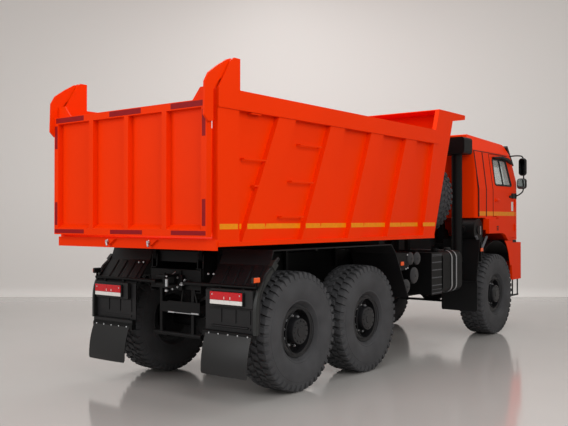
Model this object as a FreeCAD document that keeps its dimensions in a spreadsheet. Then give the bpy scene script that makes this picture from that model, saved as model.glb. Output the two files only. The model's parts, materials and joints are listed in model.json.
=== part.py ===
import FreeCAD, Part
import math
import os
import re
import Sketcher

# Tipping truck, six driven wheels on single tyres. Millimetres.
# +X is the truck's left, -Y is forward, +Z is up, and the wheels stand on Z = 0.
DIMS = {
    # clearances
    "seat_gap": 0.3,            # round faces that sit in each other on one body
    "running_gap": 0.08,        # radial play of a pin or spindle in its bore
    "open_gap": 1.5,            # play where a closed linkage ends in a loose eye
    "shut_gap": 8,              # round doors and between other moving pieces
    # running gear
    "rear_axle_y": 2580,
    "tyre_gap": 96,             # between the tyres of the two rear axles
    "wheelbase": 4100,
    "track_half": 1000,
    "tyre_radius": 672,
    "tyre_half": 215,
    "tread_half": 180,
    "tyre_wall": 26,
    "tread_depth": 52,
    "rim_radius": 254,
    "rim_half": 127,
    "rim_wall": 10,
    "rim_flange_radius": 290,
    "rim_flange": 13,
    "hub_radius": 108,
    "hub_reach": 178,
    "spindle_radius": 70,
    "drum_radius": 205,
    "drum_width": 130,
    "axle_tube_radius": 78,
    "diff_radius": 200,
    "diff_nose": 330,
    "shaft_radius": 45,
    "engine_rear": 760,         # behind the front axle
    "gearbox_length": 850,
    "case_front": 1940,         # ahead of the middle axle
    "case_rear": 1500,
    # steering
    "kingpin_x": 750,
    "kingpin_radius": 30,
    "boss_radius": 60,
    "boss_half": 90,
    "lug_thick": 40,
    "steering_arm": 250,
    "tie_rod_radius": 20,
    # frame
    "rail_outer": 400,
    "rail_top": 1380,
    "rail_depth": 270,
    "rail_flange": 80,
    "rail_web": 8,
    "rail_front": 940,          # ahead of the front axle
    "rail_rear": 780,           # behind the rear axle
    "cross_depth": 220,
    "subframe_height": 120,
    "subframe_nose": 15,
    "subframe_tail": 160,
    # bed hinge and hoist
    "hinge_set": 80,            # ahead of the rails' ends
    "hinge_z": 1500,
    "hinge_pin": 30,
    "hoist_reach": 2830,        # from the bed's hinge to the hoist's foot
    "hoist_z": 1000,
    "hoist_eye_reach": 1900,
    "hoist_eye_z": 1570,
    "hoist_radius": 85,
    "hoist_wall": 12,
    "hoist_pin": 25,
    # bed
    "bed_half": 1250,
    "bed_inner_half": 1165,
    "bed_skin": 10,
    "rib_face": 1238,
    "rung": 16,
    "bed_bottom": 1657,
    "bed_floor": 1735,
    "bed_overhang": 716,        # behind the hinge
    "bed_height": 1558,
    "bed_rail_depth": 197,
    "sill_depth": 44,
    "post_width": 318,
    "rib_width": 305,
    "rib_head_set": 966,
    "rib_foot_set": 359,
    "rib_head_gap": 984,
    "rib_foot_gap": 1006,
    "rib_head_pitch": 903,
    "rib_foot_pitch": 936,
    "bed_clear": 2395,          # from the front axle to the front wall's foot
    "front_lean": 0.36,
    "front_post": 330,
    "bed_head": 315,            # canopy and ears above the side rails
    "canopy_reach": 1065,
    "canopy_back": 195,
    "canopy_lip": 68,
    "plate": 16,
    # tailgate
    "gate_half": 1200,
    "gate_set": 48,
    "gate_depth": 72,
    "gate_rise": 19,
    "gate_drop": 128,
    "gate_top_rail": 76,
    "gate_low_rail": 96,
    "gate_post": 70,
    "gate_rib": 68,
    "gate_rib_pitch": 577,
    "gate_skin": 8,
    "arm_thick": 24,
    "gate_pin_set": 230,
    "gate_pin_drop": 79,
    "gate_pin": 20,
    # cab
    "cab_half": 1150,
    "cab_top_half": 1062,
    "cab_belt": 2420,
    "cab_seam": 3070,
    "cab_roof": 3330,
    "cab_rear": 660,            # behind the front axle
    "cab_front": 1160,          # ahead of it
    "cab_wall": 45,
    "cab_rear_low": 1950,
    "cab_front_low": 1560,
    "cab_nose_low": 1270,
    "cab_nose_half": 600,
    "door_rear": 28,
    "door_front": 908,
    "sill": 25,
    "door_top": 3030,
    "glass": 8,
    "flare_half": 1210,
    "flare_top": 1930,
    "flare_low": 1690,
    "flare_rear": 350,
    "cab_hinge": 1140,
    "cab_hinge_z": 1200,
    "cab_pin": 18,
    "driver_x": 580,
    "wheel_z": 2480,            # the steering wheel's middle
    "door_pin": 5,
    "door_barrel": 11,
    "door_knuckle": 40,
    # front
    "bumper_half": 1200,
    "bumper_front": 1210,
    "bumper_rear": 610,
    "bumper_heel": 685,
    "bumper_top": 1515,
    "bumper_low": 865,
    "bumper_mid_top": 1150,
    "bumper_wall": 40,
    # side equipment
    "side_reach": 1200,
    "strap": 5,
    "rib_pitch": 111,
    "guard_half": 1270,
    "guard_inner": 560,
    "guard_top": 1600,
    "guard_skin": 12,
    "guard_rear": 870,          # behind the rear axle
    "guard_bead": 8,
    "stay_radius": 22,
    "lamp_bar_z": 1222,
    "underrun_z": 622,
    "flap_top": 745,
    "flap_thick": 12,
    # spare wheel
    "spare_x": -270,
    "spare_set": 1320,
    "spare_z": 2300,
}
# sizes that follow from the ones above
DERIVED = {
    "bogie_spacing": "2 * tyre_radius + tyre_gap",
    "mid_axle_y": "rear_axle_y - bogie_spacing",
    "front_axle_y": "rear_axle_y - bogie_spacing - wheelbase",
    "bogie_y": "rear_axle_y - bogie_spacing / 2",
    "axle_z": "tyre_radius",
    "rail_low": "rail_top - rail_depth",
    "cross_top": "rail_top - 2.5 * rail_web",
    "cross_low": "rail_top - 2.5 * rail_web - cross_depth",
    "subframe_top": "rail_top + subframe_height",
    "rail_front_y": "front_axle_y - rail_front",
    "rail_rear_y": "rear_axle_y + rail_rear",
    "clutch_y": "front_axle_y + engine_rear",
    "case_front_y": "mid_axle_y - case_front",
    "case_rear_y": "mid_axle_y - case_rear",
    "hinge_y": "rail_rear_y - hinge_set",
    "hoist_y": "hinge_y - hoist_reach",
    "hoist_eye_y": "hinge_y - hoist_eye_reach",
    "bed_rear_y": "hinge_y + bed_overhang",
    "bed_rail_top": "bed_bottom + bed_height",
    "canopy_z": "bed_rail_top + bed_head",
    "front_foot_y": "front_axle_y + bed_clear",
    "canopy_tip_y": "front_foot_y - canopy_reach",
    "canopy_back_y": "front_foot_y - canopy_back",
    "rib_head_y": "bed_rear_y - rib_head_set",
    "rib_foot_y": "bed_rear_y - rib_foot_set",
    "subframe_front_y": "front_foot_y + subframe_nose",
    "subframe_rear_y": "rail_rear_y - subframe_tail",
    "gate_front_y": "bed_rear_y + gate_set",
    "gate_rear_y": "gate_front_y + gate_depth",
    "gate_bottom": "bed_floor + gate_rise",
    "gate_top": "bed_rail_top - gate_drop",
    "gate_pin_y": "bed_rear_y - gate_pin_set",
    "gate_pin_z": "canopy_z - gate_pin_drop",
    "cab_front_y": "front_axle_y - cab_front",
    "cab_rear_y": "front_axle_y + cab_rear",
    "door_front_y": "front_axle_y - door_front",
    "door_rear_y": "front_axle_y + door_rear",
    "door_hinge_y": "door_front_y - shut_gap / 2",
    "door_hinge_x": "cab_half + door_barrel + 1",
    "flare_rear_y": "front_axle_y + flare_rear",
    "cab_hinge_y": "front_axle_y - cab_hinge",
    "bumper_front_y": "front_axle_y - bumper_front",
    "bumper_rear_y": "front_axle_y - bumper_rear",
    "bumper_heel_y": "front_axle_y - bumper_heel",
    "spare_y": "front_axle_y + spare_set",
    "guard_rear_y": "rear_axle_y + guard_rear",
    "flap_y": "guard_rear_y + 49",
    "tank_front_y": "front_axle_y + 1375",
    "tank_rear_y": "mid_axle_y - 2075",
    "rail_inner_edge": "rail_outer - rail_flange",
}
SIDES = (("left", 1), ("right", -1))

doc = FreeCAD.newDocument("dump_truck")
sheet = doc.addObject("Spreadsheet::Sheet", "Dims")
for row, (alias, size) in enumerate(DIMS.items(), 1):
    sheet.set(f"A{row}", alias)
    sheet.set(f"B{row}", str(size))
    sheet.setAlias(f"B{row}", alias)
doc.recompute()
parts = {}


def bound(text):
    """The expression with each size pointing at its cell, and each derived size written out."""
    def swap(match):
        word = match.group()
        if word in DERIVED:
            return f"({bound(DERIVED[word])})"
        return f"Dims.{word}" if word in DIMS else word
    return re.sub(r"[a-z_]+", swap, str(text))


def number(text):
    return float(sheet.evalExpression(bound(text)))


def mirrored(sign, low, high):
    """The span low to high on the left side, or its mirror image on the right."""
    return (low, high) if sign > 0 else (f"-({high})", f"-({low})")


def node(label, piece):
    piece.Label = label
    parts[label] = piece
    return piece


def box(x, y, z):
    """A block between two sizes on each axis."""
    block = doc.addObject("Part::Box", "block")
    for axis, side, (low, high) in zip("xyz", ("Length", "Width", "Height"), (x, y, z)):
        block.setExpression(side, bound(f"({high}) - ({low})"))
        block.setExpression(f"Placement.Base.{axis}", bound(low))
    return block


def bar(axis, x, y, z, radius, length):
    """A round bar that starts at (x, y, z) and runs along one axis."""
    rod = doc.addObject("Part::Cylinder", "bar")
    turns = {"x": (0, 90, 0), "y": (0, 0, -90), "z": (0, 0, 0)}
    rod.Placement.Rotation = FreeCAD.Rotation(*turns[axis])
    rod.setExpression("Radius", bound(radius))
    rod.setExpression("Height", bound(length))
    for name, place in zip("xyz", (x, y, z)):
        rod.setExpression(f"Placement.Base.{name}", bound(place))
    return rod


def fuse(pieces):
    union = doc.addObject("Part::MultiFuse", "fusion")
    union.Shapes = pieces
    return union


def group(pieces):
    """Separate solids of one node."""
    compound = doc.addObject("Part::Compound", "group")
    compound.Links = pieces
    return compound


def cut(base, *tools):
    for tool in tools:
        result = doc.addObject("Part::Cut", "cut")
        result.Base = base
        result.Tool = tool
        base = result
    return base


def common(first, second):
    result = doc.addObject("Part::Common", "overlap")
    result.Base = first
    result.Tool = second
    return result


def draw(body, plane, corners, lift, closed=True):
    """An outline on one of the body's planes. A corner is (u, v), or (u, v, radius) where it is round."""
    sketch = body.newObject("Sketcher::SketchObject", "outline")
    face = [item for item in body.Origin.OriginFeatures if item.Role == plane][0]
    sketch.AttachmentSupport = (face, "")
    sketch.MapMode = "FlatFace"
    sketch.setExpression("AttachmentOffset.Base.z", bound(lift))
    places = [FreeCAD.Vector(number(c[0]), number(c[1]), 0) for c in corners]
    radii = [number(c[2]) if len(c) > 2 else 0 for c in corners]
    count = len(corners)
    starts, ends, arcs = [], [], {}
    for i, place in enumerate(places):
        back = (places[i - 1] - place).normalize()
        ahead = (places[(i + 1) % count] - place).normalize()
        half = back.getAngle(ahead) / 2
        reach = radii[i] / math.tan(half)
        ends.append(place + back * reach)
        starts.append(place + ahead * reach)
        if radii[i]:
            inward = (back + ahead).normalize()
            middle = place + inward * (radii[i] / math.sin(half) - radii[i])
            arcs[i] = (ends[i], middle, starts[i])
    marks = [sketch.addGeometry(Part.Point(place), True) for place in places]
    lines = [sketch.addGeometry(Part.LineSegment(starts[i], ends[(i + 1) % count]), False)
             for i in range(count if closed else count - 1)]
    rules = []
    for i, corner in enumerate(corners):
        rules.append((Sketcher.Constraint("DistanceX", -1, 1, marks[i], 1, places[i].x), corner[0]))
        rules.append((Sketcher.Constraint("DistanceY", -1, 1, marks[i], 1, places[i].y), corner[1]))
        before = lines[i - 1] if closed or i else None
        after = lines[i] if i < len(lines) else None
        if i in arcs:
            arc = sketch.addGeometry(Part.Arc(*arcs[i]), False)
            first = 1 if (sketch.getPoint(arc, 1) - arcs[i][0]).Length < 1e-6 else 2
            rules.append((Sketcher.Constraint("Tangent", before, 2, arc, first), None))
            rules.append((Sketcher.Constraint("Tangent", after, 1, arc, 3 - first), None))
            rules.append((Sketcher.Constraint("PointOnObject", marks[i], 1, before), None))
            rules.append((Sketcher.Constraint("PointOnObject", marks[i], 1, after), None))
            rules.append((Sketcher.Constraint("Radius", arc, radii[i]), corner[2]))
        else:
            if before is not None:
                rules.append((Sketcher.Constraint("Coincident", before, 2, marks[i], 1), None))
            if after is not None:
                rules.append((Sketcher.Constraint("Coincident", after, 1, marks[i], 1), None))
    sketch.addConstraint([rule for rule, _ in rules])
    for index, (_, size) in enumerate(rules):
        if size is not None:
            sketch.setExpression(f"Constraints[{index}]", bound(size))
    return sketch


def extrude(body, kind, plane, corners, low, high):
    """A pad or pocket of an outline between two places on the axis across its plane."""
    # the XZ plane faces -Y, so an outline on it starts at the far end
    lift = f"-({high})" if plane == "XZ_Plane" else low
    sketch = draw(body, plane, corners, lift)
    feature = body.newObject(f"PartDesign::{kind}", kind)
    feature.Profile = sketch
    feature.setExpression("Length", bound(f"({high}) - ({low})"))
    feature.Reversed = kind == "Pocket"
    return feature


def panel(plane, corners, low, high):
    body = doc.addObject("PartDesign::Body", "panel")
    extrude(body, "Pad", plane, corners, low, high)
    return body


def pocket(body, plane, corners, low, high):
    doc.recompute()
    before = body.Shape.Volume
    extrude(body, "Pocket", plane, corners, low, high)
    doc.recompute()
    if body.Shape.Volume >= before:
        raise ValueError("a pocket cuts nothing")


def pipe(x, corners, radius):
    """A round tube at one x along an open line of (y, z) corners with bends."""
    body = doc.addObject("PartDesign::Body", "line")
    line = draw(body, "YZ_Plane", corners, x, closed=False)
    first, second = [FreeCAD.Vector(number(x), number(c[0]), number(c[1])) for c in corners[:2]]
    ring = doc.addObject("Part::Circle", "ring")
    ring.setExpression("Radius", bound(radius))
    ring.Placement = FreeCAD.Placement(first, FreeCAD.Rotation(FreeCAD.Vector(0, 0, 1), second - first))
    doc.recompute()
    tube = doc.addObject("Part::Sweep", "tube")
    tube.Sections = [ring]
    tube.Spine = (line, [f"Edge{i + 1}" for i in range(len(line.Shape.Edges))])
    tube.Solid = True
    return tube


def lathe(corners, x, y, z, axis="X_Axis", turn=(0, 0, 0)):
    """A turned body: the outline on the XZ plane goes once round X or Z."""
    body = doc.addObject("PartDesign::Body", "turned")
    sketch = draw(body, "XZ_Plane", corners, 0)
    spin = body.newObject("PartDesign::Revolution", "spin")
    spin.Profile = sketch
    line = [item for item in body.Origin.OriginFeatures if item.Role == axis][0]
    spin.ReferenceAxis = (line, [""])
    spin.Angle = 360
    body.Placement.Rotation = FreeCAD.Rotation(*turn)
    for name, place in zip("xyz", (x, y, z)):
        body.setExpression(f"Placement.Base.{name}", bound(place))
    return body


def rectangle(u_low, u_high, v_low, v_high, radius=None):
    corners = [(u_low, v_low), (u_high, v_low), (u_high, v_high), (u_low, v_high)]
    return [c + (radius,) for c in corners] if radius else corners


# ---------------------------------------------------------------- wheels and axles

def tyre(x, y, z, turn):
    """A hollow tyre: an open ring whose two beads sit on the rim."""
    bead = "rim_radius + seat_gap"
    outer = [("rim_half - 4", bead), ("rim_half - 4", "rim_flange_radius + 8"),
             ("tyre_half - 30", "rim_flange_radius + 40"), ("tyre_half", "rim_radius + 190"),
             ("tyre_half - 6", "tyre_radius - 110"), ("tread_half + 14", "tyre_radius - 22"),
             ("tread_half - 40", "tyre_radius")]
    inner = [("tread_half - 26", "tyre_radius - tread_depth"),
             ("tyre_half - tyre_wall", "tyre_radius - 150"), ("tyre_half - tyre_wall", "rim_radius + 150"),
             ("rim_half - 34", "rim_radius + 50"), ("rim_half - 34", bead)]
    right = outer + [(f"-({u})", v) for u, v in reversed(outer)]
    left = [(f"-({u})", v) for u, v in reversed(inner)] + inner
    return lathe(right + left, x, y, z, turn=turn)


def rim(x, y, z, turn, outward):
    """Rim, dished disc and hub in one turned piece. The outward side is +u before the sign."""
    def place(u, v):
        return (f"{outward} * ({u})", v)
    barrel = "rim_radius - rim_wall"
    edge = "rim_half + rim_flange"
    bore = "spindle_radius + running_gap"
    corners = [place(f"-({edge})", barrel), place(f"-({edge})", "rim_flange_radius"),
               place("-rim_half", "rim_flange_radius"), place("-rim_half", "rim_radius"),
               place("rim_half", "rim_radius"), place("rim_half", "rim_flange_radius"),
               place(edge, "rim_flange_radius"), place(edge, barrel), place("44", barrel),
               place("62", "hub_radius + 60"), place("62", "hub_radius"),
               place("hub_reach - 12", "hub_radius - 6"), place("hub_reach", "hub_radius - 40"),
               place("hub_reach", 0), place("130", 0), place("130", bore), place("-60", bore),
               place("-60", "hub_radius"), place("20", "hub_radius"), place("46", "hub_radius + 60"),
               place("30", barrel)]
    return lathe(corners, x, y, z, turn=turn)


def wheel(name, x, y, z, turn=(0, 0, 0), outward=1):
    node(f"tyre_{name}", tyre(x, y, z, turn))
    node(f"rim_{name}", rim(x, y, z, turn, outward))


def mirror_x(corners):
    """The outline of a turned piece from its +X half."""
    return corners + [(f"-({u})", *rest) for u, *rest in reversed(corners)]


def driven_axle(y):
    """Banjo axle with brake drums and spindles, and a pinion nose to each side."""
    drum_in = "track_half - 70 - drum_width"
    half = [(0, "diff_radius"), ("diff_radius * 0.6", "diff_radius * 0.95"),
            ("diff_radius * 1.1", "axle_tube_radius + 20"), ("diff_radius * 1.5", "axle_tube_radius"),
            (f"{drum_in} - 40", "axle_tube_radius"), (drum_in, "drum_radius"),
            ("track_half - 70", "drum_radius"), ("track_half - 70", "spindle_radius"),
            ("track_half + 120", "spindle_radius")]
    axis = [("track_half + 120", 0), ("-(track_half + 120)", 0)]
    left = [(f"-({u})", v) for u, v in reversed(half[1:])]
    beam = lathe(half + axis + left, 0, y, "axle_z")
    nose = bar("y", 0, f"{y} - diff_nose", "axle_z", "diff_radius * 0.45", "2 * diff_nose")
    return fuse([beam, nose])


def front_beam():
    """Steering axle beam: banjo centre, tubes and a vertical kingpin boss at each end."""
    half = [(0, "diff_radius * 0.95"), ("diff_radius * 0.6", "diff_radius * 0.9"),
            ("diff_radius * 1.1", "axle_tube_radius + 12"), ("diff_radius * 1.5", "axle_tube_radius - 8"),
            ("kingpin_x - 20", "axle_tube_radius - 8"), ("kingpin_x - 20", 0)]
    left = [(f"-({u})", v) for u, v in reversed(half[1:])]
    beam = lathe(half + left, 0, "front_axle_y", "axle_z")
    nose = bar("y", 0, "front_axle_y", "axle_z", "diff_radius * 0.45", "diff_nose")
    bosses = [bar("z", f"{sign} * kingpin_x", "front_axle_y", "axle_z - boss_half", "boss_radius",
                  "2 * boss_half") for _, sign in SIDES]
    bores = [bar("z", f"{sign} * kingpin_x", "front_axle_y", "axle_z - boss_half - 5",
                 "kingpin_radius + running_gap", "2 * boss_half + 10") for _, sign in SIDES]
    return cut(fuse([beam, nose] + bosses), *bores)


def knuckle(sign):
    """Yoke round the kingpin boss, with the pin, the brake drum, the spindle and the steering arm."""
    pin_x = f"{sign} * kingpin_x"
    shim = 2
    reach = "boss_half + lug_thick"
    pin = bar("z", pin_x, "front_axle_y", f"axle_z - ({reach})", "kingpin_radius", f"2 * ({reach})")
    lugs = []
    for low in (f"axle_z + boss_half + {shim}", "axle_z - boss_half - lug_thick"):
        thick = f"lug_thick - {shim}"
        lugs.append(bar("z", pin_x, "front_axle_y", low, "boss_radius", thick))
        lugs.append(box(mirrored(sign, "kingpin_x", "kingpin_x + 95"),
                        ("front_axle_y - boss_radius", "front_axle_y + boss_radius"),
                        (low, f"{low} + {thick}")))
    web = box(mirrored(sign, "kingpin_x + 70", "kingpin_x + 95"),
              ("front_axle_y - boss_radius", "front_axle_y + boss_radius"),
              (f"axle_z - ({reach})", f"axle_z + {reach}"))
    drum = bar("x",
               f"{sign} * kingpin_x + {sign} * 95 - {int(sign < 0)} * (track_half - 70 - kingpin_x - 95)",
               "front_axle_y", "axle_z", "drum_radius", "track_half - 70 - kingpin_x - 95")
    spindle_span = mirrored(sign, "track_half - 71", "track_half + 120")
    spindle = bar("x", spindle_span[0], "front_axle_y", "axle_z", "spindle_radius", "191")
    arm = box(mirrored(sign, "kingpin_x - 25", "kingpin_x + 25"),
              ("front_axle_y + 20", "front_axle_y + steering_arm + 35"),
              ("axle_z - boss_half - lug_thick", "axle_z - boss_half - lug_thick + 26"))
    # the rod turns in the left arm; the right one closes the linkage
    play = "running_gap" if sign > 0 else "open_gap"
    hole = bar("z", pin_x, "front_axle_y + steering_arm", "axle_z - boss_half - lug_thick - 5",
               f"12 + {play}", "40")
    return cut(fuse([pin] + lugs + [web, drum, spindle, arm]), hole)


def tie_rod():
    """Cross rod between the steering arms, with an eye and a ball pin under each arm."""
    y = "front_axle_y + steering_arm"
    top = "axle_z - boss_half - lug_thick - 3"
    z = f"{top} - tie_rod_radius"
    rod = bar("x", "-kingpin_x", y, z, "tie_rod_radius", "2 * kingpin_x")
    pieces = [rod]
    for _, sign in SIDES:
        x = f"{sign} * kingpin_x"
        pieces.append(bar("z", x, y, f"{z} - tie_rod_radius - 4", "tie_rod_radius * 1.4",
                          "2 * tie_rod_radius + 5"))
        pieces.append(bar("z", x, y, z, "12", "tie_rod_radius + 3 + 24"))
    return fuse(pieces)


axles = [driven_axle("mid_axle_y"), driven_axle("rear_axle_y"), front_beam()]
node("axle_beams", group(axles))
for side, sign in SIDES:
    for row, y in (("front", "front_axle_y"), ("mid", "mid_axle_y"), ("rear", "rear_axle_y")):
        wheel(f"{row}_{side}", f"{sign} * track_half", y, "axle_z", outward=sign)
    node(f"knuckle_{side}", knuckle(sign))
node("tie_rod", tie_rod())

# ---------------------------------------------------------------- frame and running gear


def rail(sign):
    """A channel, open to the middle of the truck."""
    corners = [("rail_outer", "rail_low"), ("rail_outer", "rail_top"), ("rail_inner_edge", "rail_top"),
               ("rail_inner_edge", "rail_top - rail_web"), ("rail_outer - rail_web", "rail_top - rail_web"),
               ("rail_outer - rail_web", "rail_low + rail_web"), ("rail_inner_edge", "rail_low + rail_web"),
               ("rail_inner_edge", "rail_low")]
    return panel("XZ_Plane", [(f"{sign} * ({u})", v) for u, v in corners], "rail_front_y", "rail_rear_y")


node("frame_rails", group([rail(sign) for _, sign in SIDES]))


def crossmembers():
    inside = ("-(rail_outer - rail_web)", "rail_outer - rail_web")
    level = ("cross_low", "cross_top")
    beams = [box(inside, (f"{y} - {half}", f"{y} + {half}"), level) for y,
             half in (("rail_front_y + 200", 50), ("case_front_y - 450", 40), ("hoist_y - 140", 50),
                      ("bogie_y", 70))]
    beams.append(box(inside, ("rail_rear_y - 60", "rail_rear_y"), level))
    # front beam that carries the cab hinges and the bumper
    front = box(("-560", "560"), ("rail_front_y - 80", "rail_front_y"), ("rail_low", "rail_low + 80"))
    lugs = []
    for _, sign in SIDES:
        for low, high in (("372", "392"), ("448", "468")):
            lug = panel("YZ_Plane", [("cab_hinge_y - 36", "cab_hinge_z - 36", 30),
                                     ("rail_front_y - 10", "rail_low + 30"),
                                     ("rail_front_y - 10", "rail_low + 80"),
                                     ("cab_hinge_y + 36", "cab_hinge_z + 36", 30),
                                     ("cab_hinge_y - 36", "cab_hinge_z + 36", 30)],
                        *mirrored(sign, low, high))
            lugs.append(lug)
        lugs.append(bar("x", mirrored(sign, "372", "468")[0], "cab_hinge_y", "cab_hinge_z", "cab_pin", "96"))
        lugs.append(box(mirrored(sign, "500", "560"), ("bumper_front_y + bumper_wall", "rail_front_y - 80"),
                        ("rail_low - 60", "rail_low + 30")))
        lugs.append(box(mirrored(sign, "500", "560"), ("rail_front_y - 80", "rail_front_y"),
                        ("rail_low - 60", "rail_low")))
    beams.append(fuse([front] + lugs))
    for _, sign in SIDES:
        # rear cab mount: a post beside the rail with a rubber top under the platform
        post = box(mirrored(sign, "rail_outer", "rail_outer + 90"), ("cab_rear_y - 160", "cab_rear_y - 70"),
                   ("rail_top - 150", "cab_rear_low - shut_gap"))
        beams.append(post)
    # cheeks that hold the foot of the hoist
    for _, sign in SIDES:
        cheek = panel("YZ_Plane", [("hoist_y - 190", "cross_low"), ("hoist_y - 190", "cross_low - 60"),
                                   ("hoist_y - 60", "hoist_z - 60", 40), ("hoist_y + 60", "hoist_z - 60", 50),
                                   ("hoist_y + 60", "hoist_z + 60", 50), ("hoist_y - 90", "cross_low")],
                      *mirrored(sign, "108", "128"))
        hole = bar("x", mirrored(sign, "100", "140")[0], "hoist_y", "hoist_z", "hoist_pin + running_gap",
                   "40")
        beams.append(cut(cheek, hole))
    return group(beams)


node("crossmembers", crossmembers())


def engine():
    """A vee engine on two mounts between the rails, with the radiator ahead of it."""
    block = panel("XZ_Plane", mirror_x([("110", "930"), ("150", "1060"), ("280", "1110"), ("290", "1340"),
                                        ("370", "1480", 30), ("290", "1640", 30), ("180", "1580", 20),
                                        ("120", "1740", 20)]), "front_axle_y - 340", "clutch_y")
    mounts = [box(mirrored(sign, "270", "rail_outer - rail_web"), ("front_axle_y + 60", "front_axle_y + 120"),
                  ("1180", "1250")) for _, sign in SIDES]
    radiator = box(("-300", "300"), ("rail_front_y + 250", "rail_front_y + 310"), ("cross_low", "1520"))
    return group([fuse([block] + mounts), radiator])


node("engine", engine())


def driveline():
    """Gearbox, transfer case and the shafts between them and the axles."""
    gearbox = lathe([("0", "230"), ("150", "225"), ("260", "165"), ("gearbox_length", "140"),
                     ("gearbox_length", "0"), ("0", "0")], 0, "clutch_y + seat_gap", "1200",
                    turn=(90, 0, 0))
    case = box(("-210", "210"), ("case_front_y", "case_rear_y"), ("axle_z - 110", "1240"))
    top_shaft = bar("y", 0, "clutch_y + seat_gap + gearbox_length", "1080", "shaft_radius",
                    "case_front_y - clutch_y - seat_gap - gearbox_length")
    front_shaft = bar("y", 0, "front_axle_y + diff_nose + seat_gap", "axle_z", "shaft_radius",
                      "case_front_y - front_axle_y - diff_nose - seat_gap")
    mid_shaft = bar("y", 0, "case_rear_y", "axle_z", "shaft_radius", "case_rear - diff_nose - seat_gap")
    rear_shaft = bar("y", 0, "mid_axle_y + diff_nose + seat_gap", "axle_z", "shaft_radius",
                     "bogie_spacing - 2 * diff_nose - 2 * seat_gap")
    return group([gearbox, fuse([case, top_shaft, front_shaft, mid_shaft]), rear_shaft])


node("driveline", driveline())


def suspension():
    packs = []
    for _, sign in SIDES:
        front = [("front_axle_y - 760", "rail_low - 100"), ("front_axle_y - 380", "axle_z + 233"),
                 ("front_axle_y", "axle_z + 190"), ("front_axle_y + 380", "axle_z + 233"),
                 ("front_axle_y + 760", "rail_low - 100"), ("front_axle_y + 760", "rail_low - 118"),
                 ("front_axle_y + 420", "axle_z + 200"), ("front_axle_y + 150", "axle_z + 118"),
                 ("front_axle_y - 150", "axle_z + 118"), ("front_axle_y - 420", "axle_z + 200"),
                 ("front_axle_y - 760", "rail_low - 118")]
        leaves = panel("YZ_Plane", front, *mirrored(sign, "rail_outer - 50", "rail_outer + 40"))
        pad = box(mirrored(sign, "rail_outer - 60", "rail_outer + 50"),
                  ("front_axle_y - 90", "front_axle_y + 90"),
                  ("axle_z + axle_tube_radius - 8 + seat_gap", "axle_z + 118"))
        hangers = [box(mirrored(sign, "rail_outer - 50", "rail_outer + 40"), (f"{y} - 40", f"{y} + 40"),
                       ("rail_low - 110", "rail_low"))
                   for y in ("front_axle_y - 725", "front_axle_y + 725")]
        packs.append(fuse([leaves, pad] + hangers))
        low = "axle_z + axle_tube_radius"
        rear = [("bogie_y - bogie_spacing / 2 - 60", f"{low} + 80"), ("bogie_y - 380", f"{low} + 180"),
                ("bogie_y - 100", f"{low} + 240"), ("bogie_y + 100", f"{low} + 240"),
                ("bogie_y + 380", f"{low} + 180"), ("bogie_y + bogie_spacing / 2 + 60", f"{low} + 80"),
                ("bogie_y + bogie_spacing / 2 + 60", f"{low} + 60"),
                ("bogie_y + bogie_spacing / 2 - 60", f"{low} + 60"), ("bogie_y + 300", f"{low} + 120"),
                ("bogie_y - 300", f"{low} + 120"), ("bogie_y - bogie_spacing / 2 + 60", f"{low} + 60"),
                ("bogie_y - bogie_spacing / 2 - 60", f"{low} + 60")]
        pack = panel("YZ_Plane", rear, *mirrored(sign, "rail_outer + 90", "rail_outer + 190"))
        saddle = box(mirrored(sign, "rail_outer", "rail_outer + 200"), ("bogie_y - 120", "bogie_y + 120"),
                     (f"{low} + 235", "rail_low + 60"))
        seats = [box(mirrored(sign, "rail_outer + 95", "rail_outer + 185"), (f"{y} - 55", f"{y} + 55"),
                     (f"{low} + seat_gap", f"{low} + 60")) for y in ("mid_axle_y", "rear_axle_y")]
        packs.append(fuse([pack, saddle]))
        packs.extend(seats)
    return group(packs)


node("suspension", suspension())


def subframe():
    """Two longerons on the rails, cross ties, and lugs with the bed's hinge pins."""
    pieces = []
    for _, sign in SIDES:
        longeron = box(mirrored(sign, "342", "394"), ("subframe_front_y", "subframe_rear_y"),
                       ("rail_top", "subframe_top"))
        pieces.append(longeron)
        inner = panel("YZ_Plane", [("hinge_y - 70", "rail_top"), ("hinge_y + 60", "rail_top"),
                                   ("hinge_y + 50", "hinge_z + 50", 40),
                                   ("hinge_y - 50", "hinge_z + 50", 40)], *mirrored(sign, "320", "336"))
        outer = panel("YZ_Plane", [("hinge_y - 90", "rail_top - 120"), ("hinge_y + 60", "rail_top - 120"),
                                   ("hinge_y + 50", "hinge_z + 50", 40),
                                   ("hinge_y - 50", "hinge_z + 50", 40)], *mirrored(sign, "400", "416"))
        pin = bar("x", mirrored(sign, "320", "416")[0], "hinge_y", "hinge_z", "hinge_pin", "96")
        pieces.append(fuse([inner, outer, pin]))
    for y in ("subframe_front_y", "hinge_y - 1280"):
        pieces.append(box(("-342", "342"), (y, f"{y} + 70"), ("rail_top + 10", "subframe_top - 10")))
    return group(pieces)


node("subframe", subframe())

# ---------------------------------------------------------------- equipment on the frame


def round_box(x, y, z, radius):
    """A long box with rounded edges along Y."""
    return panel("XZ_Plane", rectangle(x[0], x[1], z[0], z[1], radius), *y)


def rail_brackets(sign, y_places, z, reach="rail_outer + 40"):
    """Blocks that carry side equipment off the outer face of a rail."""
    return [box(mirrored(sign, "rail_outer", reach), (f"{y} - 30", f"{y} + 30"), z) for y in y_places]


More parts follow.
